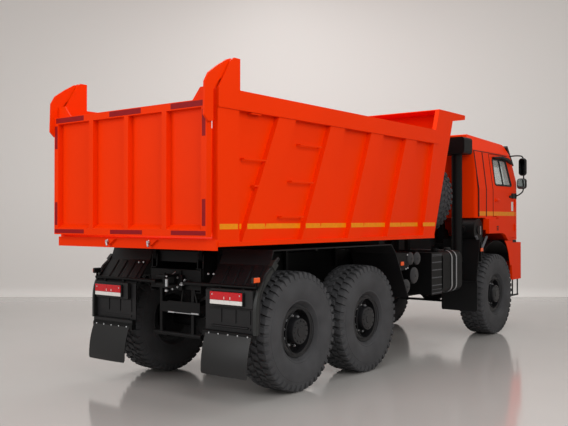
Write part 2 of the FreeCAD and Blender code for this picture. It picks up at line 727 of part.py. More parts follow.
def fuel_tank():
    """Tank with rounded edges, two straps round it and the filler's neck and cap."""
    inner = "-(rail_outer + 40)"
    pieces = [round_box(("-side_reach", inner), ("tank_front_y", "tank_rear_y"), ("830", "1450"), "110")]
    pieces += rail_brackets(-1, ("tank_front_y + 145", "tank_rear_y - 145"), ("rail_low", "rail_top - 40"))
    for y in ("tank_front_y + 211", "tank_front_y + 363"):
        pieces.append(round_box(("-(side_reach + strap)", "-(rail_outer + 46)"), (f"{y} - 20", f"{y} + 20"),
                                ("830 - strap", "1450 + strap"), "110 + strap"))
    pieces.append(bar("z", "-(side_reach - 190)", "tank_rear_y - 80", "1440", "45", "32"))
    pieces.append(bar("z", "-(side_reach - 190)", "tank_rear_y - 80", "1470", "52", "22"))
    return fuse(pieces)


def battery_box():
    """Box whose cover has raised ribs all the way up."""
    y = ("mid_axle_y - 2030", "mid_axle_y - 1710")
    pieces = [box(("-side_reach", "-(rail_outer + 40)"), y, ("830", "1440"))]
    pieces += rail_brackets(-1, ("mid_axle_y - 1870",), ("rail_low", "rail_top - 40"))
    for index in range(6):
        low = f"850 + {index} * rib_pitch"
        pieces.append(box(("-(side_reach + strap)", "-(side_reach - 5)"), (f"{y[0]} + 8", f"{y[1]} - 8"),
                          (low, f"{low} + 14")))
    return fuse(pieces)


node("fuel_tank", fuel_tank())
node("battery_box", battery_box())
muffler = [round_box(("rail_outer + 60", "1130"), ("front_axle_y + 1310", "mid_axle_y - 1990"), ("760", "1330"), "200"),
           bar("y", "700", "front_axle_y + 860", "1045", "60", "450")]
muffler += rail_brackets(1, ("front_axle_y + 1520", "mid_axle_y - 2220"), ("rail_low", "rail_top - 80"), "rail_outer + 120")
node("muffler", fuse(muffler))


def air_tanks():
    """Four vessels on a back plate, and an outer plate beside them on an arm."""
    plate = box(("-(rail_outer + 55)", "-(rail_outer + 35)"), ("mid_axle_y - 1380", "mid_axle_y - 800"),
                ("900", "1480"))
    spacers = rail_brackets(-1, ("mid_axle_y - 1290", "mid_axle_y - 990"),
                            ("rail_low + 20", "rail_top - 20"), "rail_outer + 36")
    vessels = [bar("x", "-side_reach", f"mid_axle_y - {ahead}", z, radius, "side_reach - rail_outer - 54")
               for ahead, z,
               radius in ((1070, "1385", 93), (1260, "1380", 93), (1180, "1150", 115), (950, "1012", 100))]
    outer = panel("YZ_Plane", [("mid_axle_y - 1015", "1464"), ("mid_axle_y - 610", "1484", 20),
                               ("mid_axle_y - 750", "1222", 20), ("mid_axle_y - 1028", "1252", 20)],
                  "-(side_reach + 6)", "-side_reach")
    arm = box(("-side_reach", "-(rail_outer + 54)"), ("mid_axle_y - 840", "mid_axle_y - 802"),
              ("1390", "1430"))
    return fuse([plate] + spacers + vessels + [outer, arm])


node("air_tanks", air_tanks())


def air_intake():
    """Intake box on a duct that stands off the right rail, and the round cleaner under the cab."""
    y = "front_axle_y + 910"
    cleaner_y = "cab_rear_y - 70"
    cleaner = [bar("x", "-1128", cleaner_y, "1755", "180", "260"),
               bar("x", "-1142", cleaner_y, "1755", "70", "20"),
               bar("y", "-940", cleaner_y, "1755", "60", f"{y} - ({cleaner_y}) - 40"),
               panel("YZ_Plane", [(f"{cleaner_y} - 215", "1635"), (f"{cleaner_y} + 120", "1635"),
                                  (f"{cleaner_y} - 70", "1440")], "-1128", "-1120"),
               box(("-1120", "-rail_outer"), (f"{cleaner_y} + 40", f"{cleaner_y} + 100"), ("1470", "1520")),
               box(("-(rail_outer + 40)", "-rail_outer"), (f"{cleaner_y} + 40", f"{cleaner_y} + 100"),
                   ("rail_top - 60", "1520"))]
    head = round_box(("-1100", "-500"), (f"{y} - 150", f"{y} + 150"), ("2970", "3240"), "50")
    duct = bar("z", "-900", y, "1240", "85", "1800")
    foot = box(("-940", "-rail_outer"), (f"{y} - 60", f"{y} + 60"), ("1230", "1360"))
    return fuse([head, duct, foot] + cleaner)


node("air_intake", air_intake())


def spare_carrier():
    """A cross bar on the rails, two posts, and a spigot in the bore of the spare's hub."""
    y = ("spare_y + tyre_half + 25", "spare_y + tyre_half + 95")
    pieces = [box(("-rail_outer", "rail_outer"), y, ("rail_top", "rail_top + 60"))]
    for x in ("spare_x - 130", "spare_x + 70"):
        pieces.append(box((x, f"{x} + 60"), y, ("rail_top", "spare_z + 100")))
    pieces.append(box(("spare_x - 130", "spare_x + 130"), y, ("spare_z - 90", "spare_z + 100")))
    pieces.append(bar("y", "spare_x", "spare_y - 60", "spare_z", "spindle_radius + running_gap - seat_gap",
                      "tyre_half + 90"))
    return fuse(pieces)


wheel("spare", "spare_x", "spare_y", "spare_z", (90, 0, 0), -1)
parts["spare_tyre"] = parts.pop("tyre_spare")
parts["spare_rim"] = parts.pop("rim_spare")
for label in ("spare_tyre", "spare_rim"):
    parts[label].Label = label
node("spare_carrier", spare_carrier())


def mudguards():
    """A folded guard over each pair of rear wheels: beads on its tail, brackets, flange, outer stay."""
    line = [("mid_axle_y - 900", "guard_top - 730"), ("mid_axle_y - 560", "guard_top - 120"),
            ("mid_axle_y - 440", "guard_top"), ("guard_rear_y - 280", "guard_top"),
            ("guard_rear_y - 220", "guard_top - 160"), ("guard_rear_y", "guard_top - 430"),
            ("guard_rear_y", "guard_top - 880")]
    under = [("guard_rear_y - guard_skin", "guard_top - 880"),
             ("guard_rear_y - guard_skin", "guard_top - 434"),
             ("guard_rear_y - 220 - guard_skin", "guard_top - 164"),
             ("guard_rear_y - 289", "guard_top - guard_skin"),
             ("mid_axle_y - 435", "guard_top - guard_skin"), ("mid_axle_y - 550", "guard_top - 127"),
             ("mid_axle_y - 889", "guard_top - 736")]
    slope = [("guard_rear_y - 210", "guard_top - 172.3"), ("guard_rear_y - 25", "guard_top - 399.3"),
             ("guard_rear_y - 22", "guard_top - 391"), ("guard_rear_y - 199", "guard_top - 172")]
    pieces = []
    for _, sign in SIDES:
        parts_here = [panel("YZ_Plane", line + under, *mirrored(sign, "guard_inner", "guard_half")),
                      box(mirrored(sign, "guard_inner + 10", "guard_half - 10"), ("guard_rear_y", "flap_y"),
                          ("flap_top - 30", "flap_top"))]
        for index in range(4):
            low = f"guard_inner + 65 + {index} * 158"
            parts_here.append(panel("YZ_Plane", slope, *mirrored(sign, low, f"{low} + 106")))
        for index in range(3):
            low = f"guard_inner + 70 + {index} * 200"
            parts_here.append(box(mirrored(sign, low, f"{low} + 165"),
                                  ("guard_rear_y - 2", "guard_rear_y + guard_bead"),
                                  ("flap_top + 95", "flap_top + 235")))
        parts_here.append(box(mirrored(sign, "guard_inner + 70", "guard_half - 75"),
                              ("guard_rear_y - 2", "guard_rear_y + guard_bead"),
                              ("flap_top + 35", "flap_top + 55")))
        pieces.append(fuse(parts_here))
        for y in ("mid_axle_y - 380", "bogie_y", "rear_axle_y + 500"):
            outline = [("rail_outer", "rail_top - 90"), ("rail_outer + 45", "rail_top - 90"),
                       ("rail_outer + 45", "guard_top - guard_skin - 45"),
                       ("900", "guard_top - guard_skin - 45"), ("900", "guard_top - guard_skin"),
                       ("rail_outer", "guard_top - guard_skin")]
            pieces.append(panel("XZ_Plane", [(f"{sign} * ({u})", v) for u, v in outline], f"{y} - 25",
                                f"{y} + 25"))
        pieces.append(pipe(f"{sign} * (guard_half + stay_radius)",
                           [("guard_rear_y - 330", "guard_top - 90"),
                            ("guard_rear_y - 110", "guard_top - 262", 120),
                            ("guard_rear_y - 14", "guard_top - 460", 160),
                            ("guard_rear_y + 6", "flap_top - 5")], "stay_radius"))
    return group(pieces)


node("mudguards", mudguards())
flaps = []
for _, sign in SIDES:
    flaps.append(box(mirrored(sign, "guard_inner + 10", "guard_half - 10"), ("flap_y", "flap_y + flap_thick"),
                     ("300", "flap_top")))
    flaps.append(box(mirrored(sign, "600", "1220"), ("front_axle_y + 842", "front_axle_y + 842 + flap_thick"),
                     ("450", "930")))
node("mud_flaps", group(flaps))


def underrun():
    """Lamp bars beside the hitch, and a bar under the frame on two posts that also hold the plate carrier."""
    pieces = []
    for _, sign in SIDES:
        post = box(mirrored(sign, "232", "272"), ("rail_rear_y - 60", "rail_rear_y - 20"),
                   ("underrun_z - 20", "cross_low"))
        pieces.append(post)
        bar_y = "guard_rear_y - stay_radius + 20"
        low, high = mirrored(sign, "220", "guard_half + 10")
        tube = bar("x", low, bar_y, "lamp_bar_z", "stay_radius - 2", "guard_half + 10 - 220")
        web = box(mirrored(sign, "220", "260"), ("rail_rear_y", bar_y),
                  ("lamp_bar_z - 16", "lamp_bar_z + 16"))
        hangers = [box(mirrored(sign, low, f"{low} + 30"), ("guard_rear_y", "guard_rear_y + 12"),
                       ("1140", "lamp_bar_z")) for low in ("760", "1090")]
        marker = box(mirrored(sign, "guard_half - 8", "guard_half"), (f"{bar_y} - 14", f"{bar_y} + 14"),
                     ("lamp_bar_z", "lamp_bar_z + 110"))
        pieces.append(fuse([tube, web, marker] + hangers))
    low_bar = bar("x", "-380", "rail_rear_y - 40", "underrun_z", "26", "760")
    carrier = box(("-262", "262"), ("rail_rear_y - 20", "rail_rear_y - 14"), ("868", "985"))
    return group([fuse(pieces[:1] + pieces[2:3] + [low_bar, carrier])] + [pieces[1], pieces[3]])


node("underrun", underrun())


def lamps():
    """Tail lamps on the guards, side markers and headlamps."""
    pieces = []
    for _, sign in SIDES:
        pieces.append(box(mirrored(sign, "714", "1166"), ("guard_rear_y + 12", "guard_rear_y + 87"),
                          ("1030", "1150")))
        pieces.append(box(mirrored(sign, "guard_half", "guard_half + 16"),
                          ("guard_rear_y - 22", "guard_rear_y + 60"),
                          ("lamp_bar_z + 50", "lamp_bar_z + 105")))
        pieces.append(box(mirrored(sign, "780", "1040"), ("bumper_front_y + 4", "bumper_front_y + 70"),
                          ("1190", "1370")))
    return group(pieces)


node("lamps", lamps())


def tow_hitch():
    """Plate on the rear beam, two jaws and an upright coupling pin."""
    plate = box(("-110", "110"), ("rail_rear_y", "rail_rear_y + 16"), ("1150", "1350"))
    body = box(("-70", "70"), ("rail_rear_y + 16", "rail_rear_y + 90"), ("1190", "1310"))
    jaws = [panel("XY_Plane", [("-70", "rail_rear_y + 80"), ("70", "rail_rear_y + 80"),
                               ("95", "rail_rear_y + 215", 20), ("-95", "rail_rear_y + 215", 20)], low,
                  f"{low} + 24") for low in ("1190", "1286")]
    pin = bar("z", 0, "rail_rear_y + 165", "1180", "19", "150")
    return fuse([plate, body] + jaws + [pin])


node("tow_hitch", tow_hitch())


def bumper():
    """A shell with a front wall and two side walls, low in the middle."""
    body = panel("XY_Plane", [("-bumper_half", "bumper_rear_y"), ("-bumper_half", "bumper_front_y", 150),
                              ("bumper_half", "bumper_front_y", 150), ("bumper_half", "bumper_rear_y"),
                              ("bumper_half - bumper_wall", "bumper_rear_y"),
                              ("bumper_half - bumper_wall", "bumper_front_y + bumper_wall", 110),
                              ("-(bumper_half - bumper_wall)", "bumper_front_y + bumper_wall", 110),
                              ("-(bumper_half - bumper_wall)", "bumper_rear_y")], "bumper_low", "bumper_top")
    pocket(body, "XZ_Plane",
           rectangle("-cab_nose_half - 20", "cab_nose_half + 20", "bumper_mid_top", "bumper_top + 20"),
           "bumper_front_y - 20", "bumper_front_y + 200")
    for _, sign in SIDES:
        pocket(body, "XZ_Plane", rectangle(*mirrored(sign, "780", "1040"), "1190", "1370"),
               "bumper_front_y - 20", "bumper_front_y + 200")
    pocket(body, "YZ_Plane", [("bumper_rear_y", "bumper_top"), ("bumper_heel_y", "bumper_low"),
                              ("bumper_rear_y", "bumper_low")], "-bumper_half", "bumper_half")
    return body


node("bumper", bumper())


def steps_and_guards():
    """Stirrup steps under the bumper and guards behind the front wheels."""
    pieces = []
    for _, sign in SIDES:
        rods = [bar("z", f"{sign} * 1182", y, "590", 12, "bumper_low - 590")
                for y in ("front_axle_y - 960", "front_axle_y - 730")]
        rods.append(bar("y", f"{sign} * 1182", "front_axle_y - 976", "590", 15, "262"))
        pieces.append(fuse(rods))
        guard = panel("YZ_Plane", [("front_axle_y + 830", "900"), ("front_axle_y + 690", "1600"),
                                   ("front_axle_y + 702", "1600"), ("front_axle_y + 842", "900")],
                      *mirrored(sign, "560", "side_reach"))
        carrier = box(mirrored(sign, "rail_outer", "700"), ("front_axle_y + 790", "front_axle_y + 835"),
                      ("1140", "1190"))
        edge = panel("YZ_Plane", [("front_axle_y + 842", "900"), ("front_axle_y + 842", "930"),
                                  ("front_axle_y + 836", "930")], *mirrored(sign, "600", "side_reach"))
        pieces.append(fuse([guard, carrier, edge]))
    return group(pieces)


node("steps_and_guards", steps_and_guards())

# ---------------------------------------------------------------- cab

SCREEN_LEAN = "0.48"


def hull(inset):
    """The cab's outer form, drawn in by an even skin: front view, plan and side view cut together."""
    inset = f"({inset})"
    half = f"cab_half - {inset}"
    top = f"cab_top_half - {inset}"
    rear = f"cab_rear_y - {inset}"
    front = f"cab_front_y + {inset}"
    seen = panel("XZ_Plane", mirror_x([(half, "cab_nose_low"), (half, "cab_belt"), (top, "cab_seam"),
                                       (f"{top} - 130", f"cab_roof - {inset}")]), "cab_front_y - 50",
                 "cab_rear_y + 50")
    plan = panel("XY_Plane", [(half, rear, 90), (half, front, 180), (f"-({half})", front, 180),
                              (f"-({half})", rear, 90)], "cab_nose_low", "cab_roof + 10")
    low = f"cab_rear_low + {inset}"
    side = panel("YZ_Plane", [(f"{rear} + 40", low), (f"{rear} + 40", f"cab_roof - {inset}", 90),
                              ("front_axle_y - 820", f"cab_roof - 80 - {inset}", 90),
                              (f"front_axle_y - 940 + {inset} * 1.1", "3000"), (front, "2260"),
                              (front, f"cab_front_low + {inset}"),
                              (f"front_axle_y - 600 - {inset}", f"cab_front_low + {inset}"),
                              (f"front_axle_y - 520 - {inset}", f"1600 + {inset}"),
                              (f"front_axle_y - 300 - {inset}", f"1860 + {inset}"),
                              (f"front_axle_y - 100 - {inset} * 0.4", low)], "-cab_half - 50",
                 "cab_half + 50")
    return common(common(seen, plan), side)


def door_outline(grow):
    """The door seen from the side, grown by a gap all round."""
    return [(f"door_rear_y + {grow}", f"cab_rear_low + sill - {grow}"),
            (f"door_rear_y + {grow}", f"door_top + {grow}"),
            (f"door_front_y + 190 - {grow}", f"door_top + {grow}"),
            (f"door_front_y - {grow}", f"2520 + {grow}"),
            (f"door_front_y - {grow}", f"cab_front_low + sill + 15 - {grow}"),
            (f"front_axle_y - 540 + {grow}", f"cab_front_low + sill + 30 - {grow}"),
            (f"front_axle_y - 312 + {grow}", f"1885 - {grow}"),
            (f"front_axle_y - 108 + {grow}", f"cab_rear_low + sill - {grow}")]


WINDOW = [("front_axle_y - 80", "2510"), ("front_axle_y - 80", "2960"), ("front_axle_y - 670", "2960"),
          ("front_axle_y - 812", "2510")]
outer_hull = hull("0")
shell = cut(outer_hull, hull("cab_wall"))
glass_shell = cut(hull("18"), hull("18 + glass"))
above = box(("-1300", "1300"), ("cab_front_y - 50", "cab_rear_y + 50"), ("cab_seam", "cab_roof + 50"))
core = box(("-(cab_half - cab_wall)", "cab_half - cab_wall"),
           ("cab_front_y + cab_wall", "cab_rear_y - cab_wall"), ("1000", "2130"))
walls = cut(shell, above, core)
screen = panel("XZ_Plane", mirror_x([("950", "2340"), ("905", "2950")]), "cab_front_y - 30",
               "front_axle_y - 740")
node("cab_roof", common(shell, above))
node("cab_floor", common(shell, core))
behind = box(("-1300", "1300"), ("cab_rear_y - cab_wall", "cab_rear_y + 50"), ("1000", "3400"))
node("cab_back", common(walls, behind))
ahead = box(("-1300", "1300"), ("cab_front_y - 50", "door_front_y - shut_gap"), ("1000", "3400"))


def cab_front():
    """Front wall with the windscreen opening, nose panel and the two tilt hinge arms."""
    wall = cut(common(walls, ahead), screen)
    nose = box(("-cab_nose_half", "cab_nose_half"), ("cab_front_y", "cab_front_y + cab_wall"),
               ("cab_nose_low", "cab_front_low"))
    arms = []
    for _, sign in SIDES:
        arm = panel("YZ_Plane", [("cab_hinge_y - 36", "cab_hinge_z - 36", 34),
                                 ("cab_hinge_y + 36", "cab_hinge_z - 36", 34),
                                 ("cab_hinge_y + 36", "cab_front_low"),
                                 ("cab_front_y + 10", "cab_front_low"),
                                 ("cab_front_y + 10", "cab_nose_low"),
                                 ("cab_hinge_y - 36", "cab_hinge_z + 40")], *mirrored(sign, "397", "443"))
        arms.append(arm)
    bores = [bar("x", mirrored(sign, "390", "450")[0], "cab_hinge_y", "cab_hinge_z",
                 "cab_pin + running_gap", "60") for _, sign in SIDES]
    return cut(fuse([wall, nose] + arms), *bores)


node("cab_front", cab_front())
node("windscreen", common(glass_shell, screen))


HINGE_LOWS = ("1720", "2150")


def hinge_leaf(sign, low, ahead):
    """A leaf of a door hinge: the cab's with two barrels and the pin, or the door's with one barrel."""
    leaf_x = mirrored(sign, "cab_half", "cab_half + 4")
    reach = -1 if ahead else 1
    near, far = sorted((14 * reach, 56 * reach))
    solids = [box(leaf_x, (f"door_hinge_y + ({near})", f"door_hinge_y + ({far})"),
                  (low, f"{low} + 3 * door_knuckle"))]
    near, far = sorted((0, 14 * reach))
    for index in (0, 2) if ahead else (1,):
        foot = f"{low} + {index} * door_knuckle + 1"
        solids.append(bar("z", f"{sign} * door_hinge_x", "door_hinge_y", foot, "door_barrel",
                          "door_knuckle - 2"))
        solids.append(box(leaf_x, (f"door_hinge_y + ({near})", f"door_hinge_y + ({far})"),
                          (foot, f"{foot} + door_knuckle - 2")))
    if ahead:
        solids.append(bar("z", f"{sign} * door_hinge_x", "door_hinge_y", f"{low} + 1", "door_pin",
                          "3 * door_knuckle - 2"))
    return solids


def cab_sides():
    """Side walls round the doors, with the doors' fixed hinge leaves and the flares over the front wheels."""
    middle = box(("-1300", "1300"), ("door_front_y - shut_gap", "cab_rear_y - cab_wall"), ("1000", "3400"))
    opening = panel("YZ_Plane", door_outline("shut_gap"), "-1300", "1300")
    wall = cut(common(walls, middle), opening)
    flares = []
    for _, sign in SIDES:
        flare = [("flare_rear_y", "flare_low"), ("flare_rear_y", "flare_top"),
                 ("front_axle_y - 90", "flare_top"), ("front_axle_y - 285", "1845"),
                 ("front_axle_y - 515", "1575"), ("front_axle_y - 460", "1572"),
                 ("front_axle_y - 340", "1660"), ("front_axle_y - 220", "flare_low")]
        flares.append(panel("YZ_Plane", flare, *mirrored(sign, "cab_half", "flare_half")))
        flares.append(box(mirrored(sign, "cab_half - cab_wall", "cab_half"),
                          ("front_axle_y - 100", "flare_rear_y"), ("flare_low + 60", "cab_rear_low")))
        for low in HINGE_LOWS:
            flares += hinge_leaf(sign, low, ahead=True)
    return fuse([wall] + flares)


node("cab_sides", cab_sides())
for side, sign in SIDES:
    prism = panel("YZ_Plane", door_outline("0"), *mirrored(sign, "700", "1300"))
    pane = panel("YZ_Plane", WINDOW, *mirrored(sign, "700", "1300"))
    leaves = [solid for low in HINGE_LOWS for solid in hinge_leaf(sign, low, ahead=False)]
    bores = [bar("z", f"{sign} * door_hinge_x", "door_hinge_y", low, "door_pin + running_gap",
                 "3 * door_knuckle") for low in HINGE_LOWS]
    node(f"door_{side}", cut(fuse([cut(common(walls, prism), pane)] + leaves), *bores))
    node(f"door_glass_{side}", common(glass_shell, pane))


def seats():
    """Three seats on pedestals."""
    pieces = []
    for x in ("-650", "-80", "driver_x"):
        base = box((f"{x} - 170", f"{x} + 170"), ("front_axle_y - 20", "front_axle_y + 320"),
                   ("cab_rear_low + cab_wall", "2200"))
        cushion = box((f"{x} - 240", f"{x} + 240"), ("front_axle_y - 120", "front_axle_y + 360"),
                      ("2200", "2330"))
        back = panel("YZ_Plane", [("front_axle_y + 320", "2320", 20), ("front_axle_y + 440", "2950", 40),
                                  ("front_axle_y + 540", "2950", 40), ("front_axle_y + 440", "2240", 20),
                                  ("front_axle_y + 350", "2240")], f"{x} - 230", f"{x} + 230")
        pieces.append(fuse([base, cushion, back]))
    return group(pieces)


node("seats", seats())
COLUMN = FreeCAD.Placement(FreeCAD.Vector(number("driver_x"), number("front_axle_y - 440"),
                                          number("wheel_z")), FreeCAD.Rotation(-90, 35, 0))


def dashboard():
    """A padded board from pillar to pillar, bored for the steering column."""
    board = panel("YZ_Plane", [("cab_front_y + cab_wall", "2150"), ("cab_front_y + cab_wall", "2240"),
                               ("front_axle_y - 1060", "2330"), ("front_axle_y - 800", "2400", 40),
                               ("front_axle_y - 680", "2300", 30), ("front_axle_y - 740", "2120", 30),
                               ("front_axle_y - 940", "2040")], "-1000", "1000")
    drill = bar("x", 0, 0, 0, "28 + seat_gap", "420")
    for name in "xyz":
        drill.setExpression(f"Placement.Base.{name}", None)
    drill.Placement = COLUMN * drill.Placement
    return cut(common(board, hull("cab_wall + seat_gap")), drill)


node("dashboard", dashboard())


def steering_wheel():
    """Rim, spokes and a column that goes into the dashboard."""
    ring = lathe([("-14", "200", 10), ("14", "200", 10), ("14", "230", 10), ("-14", "230", 10)], 0, 0, 0)
    boss = bar("x", "-40", 0, 0, 45, "60")
    spokes = [box(("-8", "8"), ("-205", "205"), ("-16", "16")),
              box(("-8", "8"), ("-16", "16"), ("-205", "0"))]
    column = bar("x", "20", 0, 0, 28, "380")
    union = fuse([ring, boss, column] + spokes)
    union.Placement = COLUMN
    return union


node("steering_wheel", steering_wheel())
node("sun_visor", panel("YZ_Plane", [(f"front_axle_y - 940 + 200 * {SCREEN_LEAN}", "3200"),
                                     (f"front_axle_y - 940 + 160 * {SCREEN_LEAN}", "3160"),
                                     ("front_axle_y - 1140", "2890"), ("front_axle_y - 1170", "2905"),
                                     ("front_axle_y - 875", "3235")], "-1040", "1040"))


def mirrors():
    """Two housings a side on an upright between a visor arm and a door pillar arm."""
    pieces = []
    for _, sign in SIDES:
        x = f"{sign} * 1350"
        arms = [bar("z", x, "front_axle_y - 985", "2330", 12, "705"),
                bar("y", x, "front_axle_y - 1025", "3035", 12, "40"),
                bar("x", mirrored(sign, "1040", "1350")[0], "front_axle_y - 1025", "3035", 12, "310"),
                bar("y", x, "front_axle_y - 985", "2330", 12, "40"),
                bar("x", mirrored(sign, "cab_half", "1350")[0], "front_axle_y - 945", "2330", 12,
                    "1350 - cab_half")]
        upper = panel("XY_Plane", rectangle(*mirrored(sign, "1265", "1435"), "front_axle_y - 1030",
                                            "front_axle_y - 940", 25), "2720", "3020")
        lower = panel("XY_Plane", rectangle(*mirrored(sign, "1270", "1430"), "front_axle_y - 1030",
                                            "front_axle_y - 940", 25), "2440", "2680")
        pieces.append(fuse(arms + [upper, lower]))
    return group(pieces)


node("mirrors", mirrors())

# ---------------------------------------------------------------- bed

BED_HEAD = "bed_rail_top - bed_rail_depth"
BED_FOOT = "bed_bottom + sill_depth"


def front_face(z, back="0"):
    """Where the bed's front wall stands at a height."""
    return f"front_foot_y - front_lean * (({z}) - bed_bottom) + ({back})"


def bed_sides():
    """Skins with sill, top rail, leaning ribs and posts, and the ears that hold the tailgate."""
    profile = [("bed_rear_y", "bed_bottom"), ("bed_rear_y", "bed_rail_top"),
               ("canopy_back_y", "bed_rail_top"), ("canopy_back_y", "canopy_z"),
               ("canopy_tip_y", "canopy_z"), ("canopy_tip_y + 8", "canopy_z - canopy_lip"),
               (front_face("canopy_z - 130"), "canopy_z - 130"), ("front_foot_y", "bed_bottom")]
    posts = [[("bed_rear_y", BED_FOOT), ("bed_rear_y", BED_HEAD), ("bed_rear_y - post_width", BED_HEAD),
              ("bed_rear_y - post_width", BED_FOOT)]]
    for index in range(4):
        steps = max(index - 1, 0)
        first = min(index, 1)
        head = f"rib_head_y - {first} * rib_head_gap - {steps} * rib_head_pitch"
        foot = f"rib_foot_y - {first} * rib_foot_gap - {steps} * rib_foot_pitch"
        posts.append([(foot, BED_FOOT), (head, BED_HEAD), (f"{head} - rib_width", BED_HEAD),
                      (f"{foot} - rib_width", BED_FOOT)])
    posts.append([(f"front_foot_y + front_post", BED_FOOT),
                  (f"{front_face(BED_HEAD)} + front_post + 155", BED_HEAD),
                  (f"{front_face('bed_rail_top')} + front_post + 45", "canopy_z"),
                  ("canopy_tip_y", "canopy_z"), ("canopy_tip_y + 8", "canopy_z - canopy_lip"),
                  (front_face("canopy_z - 130"), "canopy_z - 130"), (front_face(BED_FOOT), BED_FOOT)])
    pieces = []
    for _, sign in SIDES:
        skin = panel("YZ_Plane", profile, *mirrored(sign, "bed_inner_half", "bed_inner_half + bed_skin"))
        raised = [panel("YZ_Plane", corners, *mirrored(sign, "bed_inner_half + bed_skin", "rib_face"))
                  for corners in posts]
        sill = box(mirrored(sign, "bed_inner_half + bed_skin", "bed_half"), ("front_foot_y", "bed_rear_y"),
                   ("bed_bottom", BED_FOOT))
        top = panel("YZ_Plane", [("bed_rear_y", BED_HEAD), ("bed_rear_y", "bed_rail_top"),
                                 ("canopy_back_y", "bed_rail_top"),
                                 (f"{front_face(BED_HEAD)} + front_post", BED_HEAD)],
                    *mirrored(sign, "bed_inner_half + bed_skin", "bed_half"))
        pieces.append(fuse([skin, sill, top] + raised + ears(sign) + rungs(sign)))
    return group(pieces)


# how far each bar starts ahead of the bed's rear edge, how long it is, and its height over the bed's foot
RUNGS = [(796, 400, 873), (1416, 410, 287), (1766, 420, 1088), (1596, 410, 673), (686, 130, 603), (4666, 190, 833),
         (666, 160, 1343), (4566, 360, 1373)]


def rungs(sign):
    """Square bars standing off the skin between the ribs: steps, lashing bars and sheet hooks."""
    bars = []
    for back, length, rise in RUNGS:
        y = f"bed_rear_y - {back}"
        z = (f"bed_bottom + {rise}", f"bed_bottom + {rise} + rung")
        bars.append(box(mirrored(sign, "rib_face - rung", "rib_face"), (y, f"{y} + {length}"), z))
        for end in (y, f"{y} + {length} - rung"):
            bars.append(box(mirrored(sign, "bed_inner_half + bed_skin", "rib_face"), (end, f"{end} + rung"),
                            z))
    return bars


def ears(sign):
    """Two upright plates with a web in front, and the tailgate's pin between them."""
    low = "bed_rail_top - 5"
    plate = [("bed_rear_y - post_width", low), ("bed_rear_y", low), ("gate_pin_y + 52", "canopy_z - 34"),
             ("gate_pin_y + 3", "canopy_z"), ("bed_rear_y - post_width + 6", "canopy_z")]
    outer = panel("YZ_Plane", plate, *mirrored(sign, "bed_half - plate", "bed_half"))
    inner = panel("YZ_Plane", plate,
                  *mirrored(sign, "bed_inner_half + bed_skin", "bed_inner_half + bed_skin + plate"))
    web = box(mirrored(sign, "bed_inner_half + bed_skin", "bed_half"),
              ("bed_rear_y - post_width", "bed_rear_y - post_width + plate"), (low, "canopy_z"))
    pin = bar("x", mirrored(sign, "bed_inner_half + bed_skin", "bed_half")[0], "gate_pin_y", "gate_pin_z",
              "gate_pin", "bed_half - bed_inner_half - bed_skin")
    return [outer, inner, web, pin]


def bed_front_wall():
    """The leaning wall between the sides, with the canopy that reaches forward."""
    skin = "bed_skin + 2"
    under = f"canopy_z - ({skin})"
    return panel("YZ_Plane", [(front_face("bed_bottom"), "bed_bottom"), (front_face(under), under),
                              ("canopy_tip_y + 14", under), ("canopy_tip_y + 20", "canopy_z - canopy_lip"),
                              ("canopy_tip_y + 8", "canopy_z - canopy_lip"), ("canopy_tip_y", "canopy_z"),
                              ("canopy_back_y", "canopy_z"), ("canopy_back_y", under),
                              (front_face(under, skin), under),
                              (front_face("bed_bottom", skin), "bed_bottom")], "-bed_inner_half",
                 "bed_inner_half")


def bed_underframe():
    """Longerons with the hinge eyes, cross bearers, rear beam and the hoist's upper cheeks."""
    low = "bed_floor - bed_skin"
    solids = []
    for _, sign in SIDES:
        beam = panel("YZ_Plane", [("front_foot_y + 115", "subframe_top + shut_gap"),
                                  ("hinge_y - 60", "subframe_top + shut_gap"),
                                  ("hinge_y - 55", "hinge_z - 55", 50),
                                  ("hinge_y + 55", "hinge_z - 55", 50), ("hinge_y + 60", low),
                                  ("front_foot_y + 115", low)], *mirrored(sign, "342", "394"))
        solids.append(beam)
        cheek = panel("YZ_Plane", [("hoist_eye_y - 130", low), ("hoist_eye_y - 50", "hoist_eye_z - 50", 45),
                                   ("hoist_eye_y + 50", "hoist_eye_z - 50", 45), ("hoist_eye_y + 130", low)],
                      *mirrored(sign, "55", "75"))
        solids.append(cheek)
    for y in ("front_foot_y + 165", "hinge_y - 2980", "hinge_y - 2330", "hinge_y - 1080", "hinge_y - 380",
              "hinge_y + 220"):
        solids.append(box(("-bed_inner_half", "bed_inner_half"), (y, f"{y} + 60"), ("bed_bottom", low)))
    for y in ("hoist_eye_y - 190", "hoist_eye_y + 130"):
        solids.append(box(("-bed_inner_half", "bed_inner_half"), (y, f"{y} + 60"), (f"{low} - 30", low)))
    solids.append(box(("-(bed_half - 10)", "bed_half - 10"), ("bed_rear_y", "bed_rear_y + 30"),
                      ("1620", low)))
    solids.append(box(("-bed_inner_half", "bed_inner_half"), ("bed_rear_y - 60", "bed_rear_y"),
                      ("1620", low)))
    solids.append(bar("x", "-75", "hoist_eye_y", "hoist_eye_z", "hoist_pin", "150"))
    bores = [bar("x", mirrored(sign, "335", "400")[0], "hinge_y", "hinge_z", "hinge_pin + running_gap",
                 "65") for _, sign in SIDES]
    return cut(fuse(solids), *bores)


node("bed_sides", bed_sides())
node("bed_front_wall", bed_front_wall())
node("bed_floor", panel("YZ_Plane", [(front_face("bed_floor - bed_skin", "bed_skin + 2"),
                                      "bed_floor - bed_skin"),
                                     (front_face("bed_floor", "bed_skin + 2"), "bed_floor"),
                                     ("bed_rear_y", "bed_floor"), ("bed_rear_y", "bed_floor - bed_skin")],
                        "-bed_inner_half", "bed_inner_half"))
node("bed_underframe", bed_underframe())


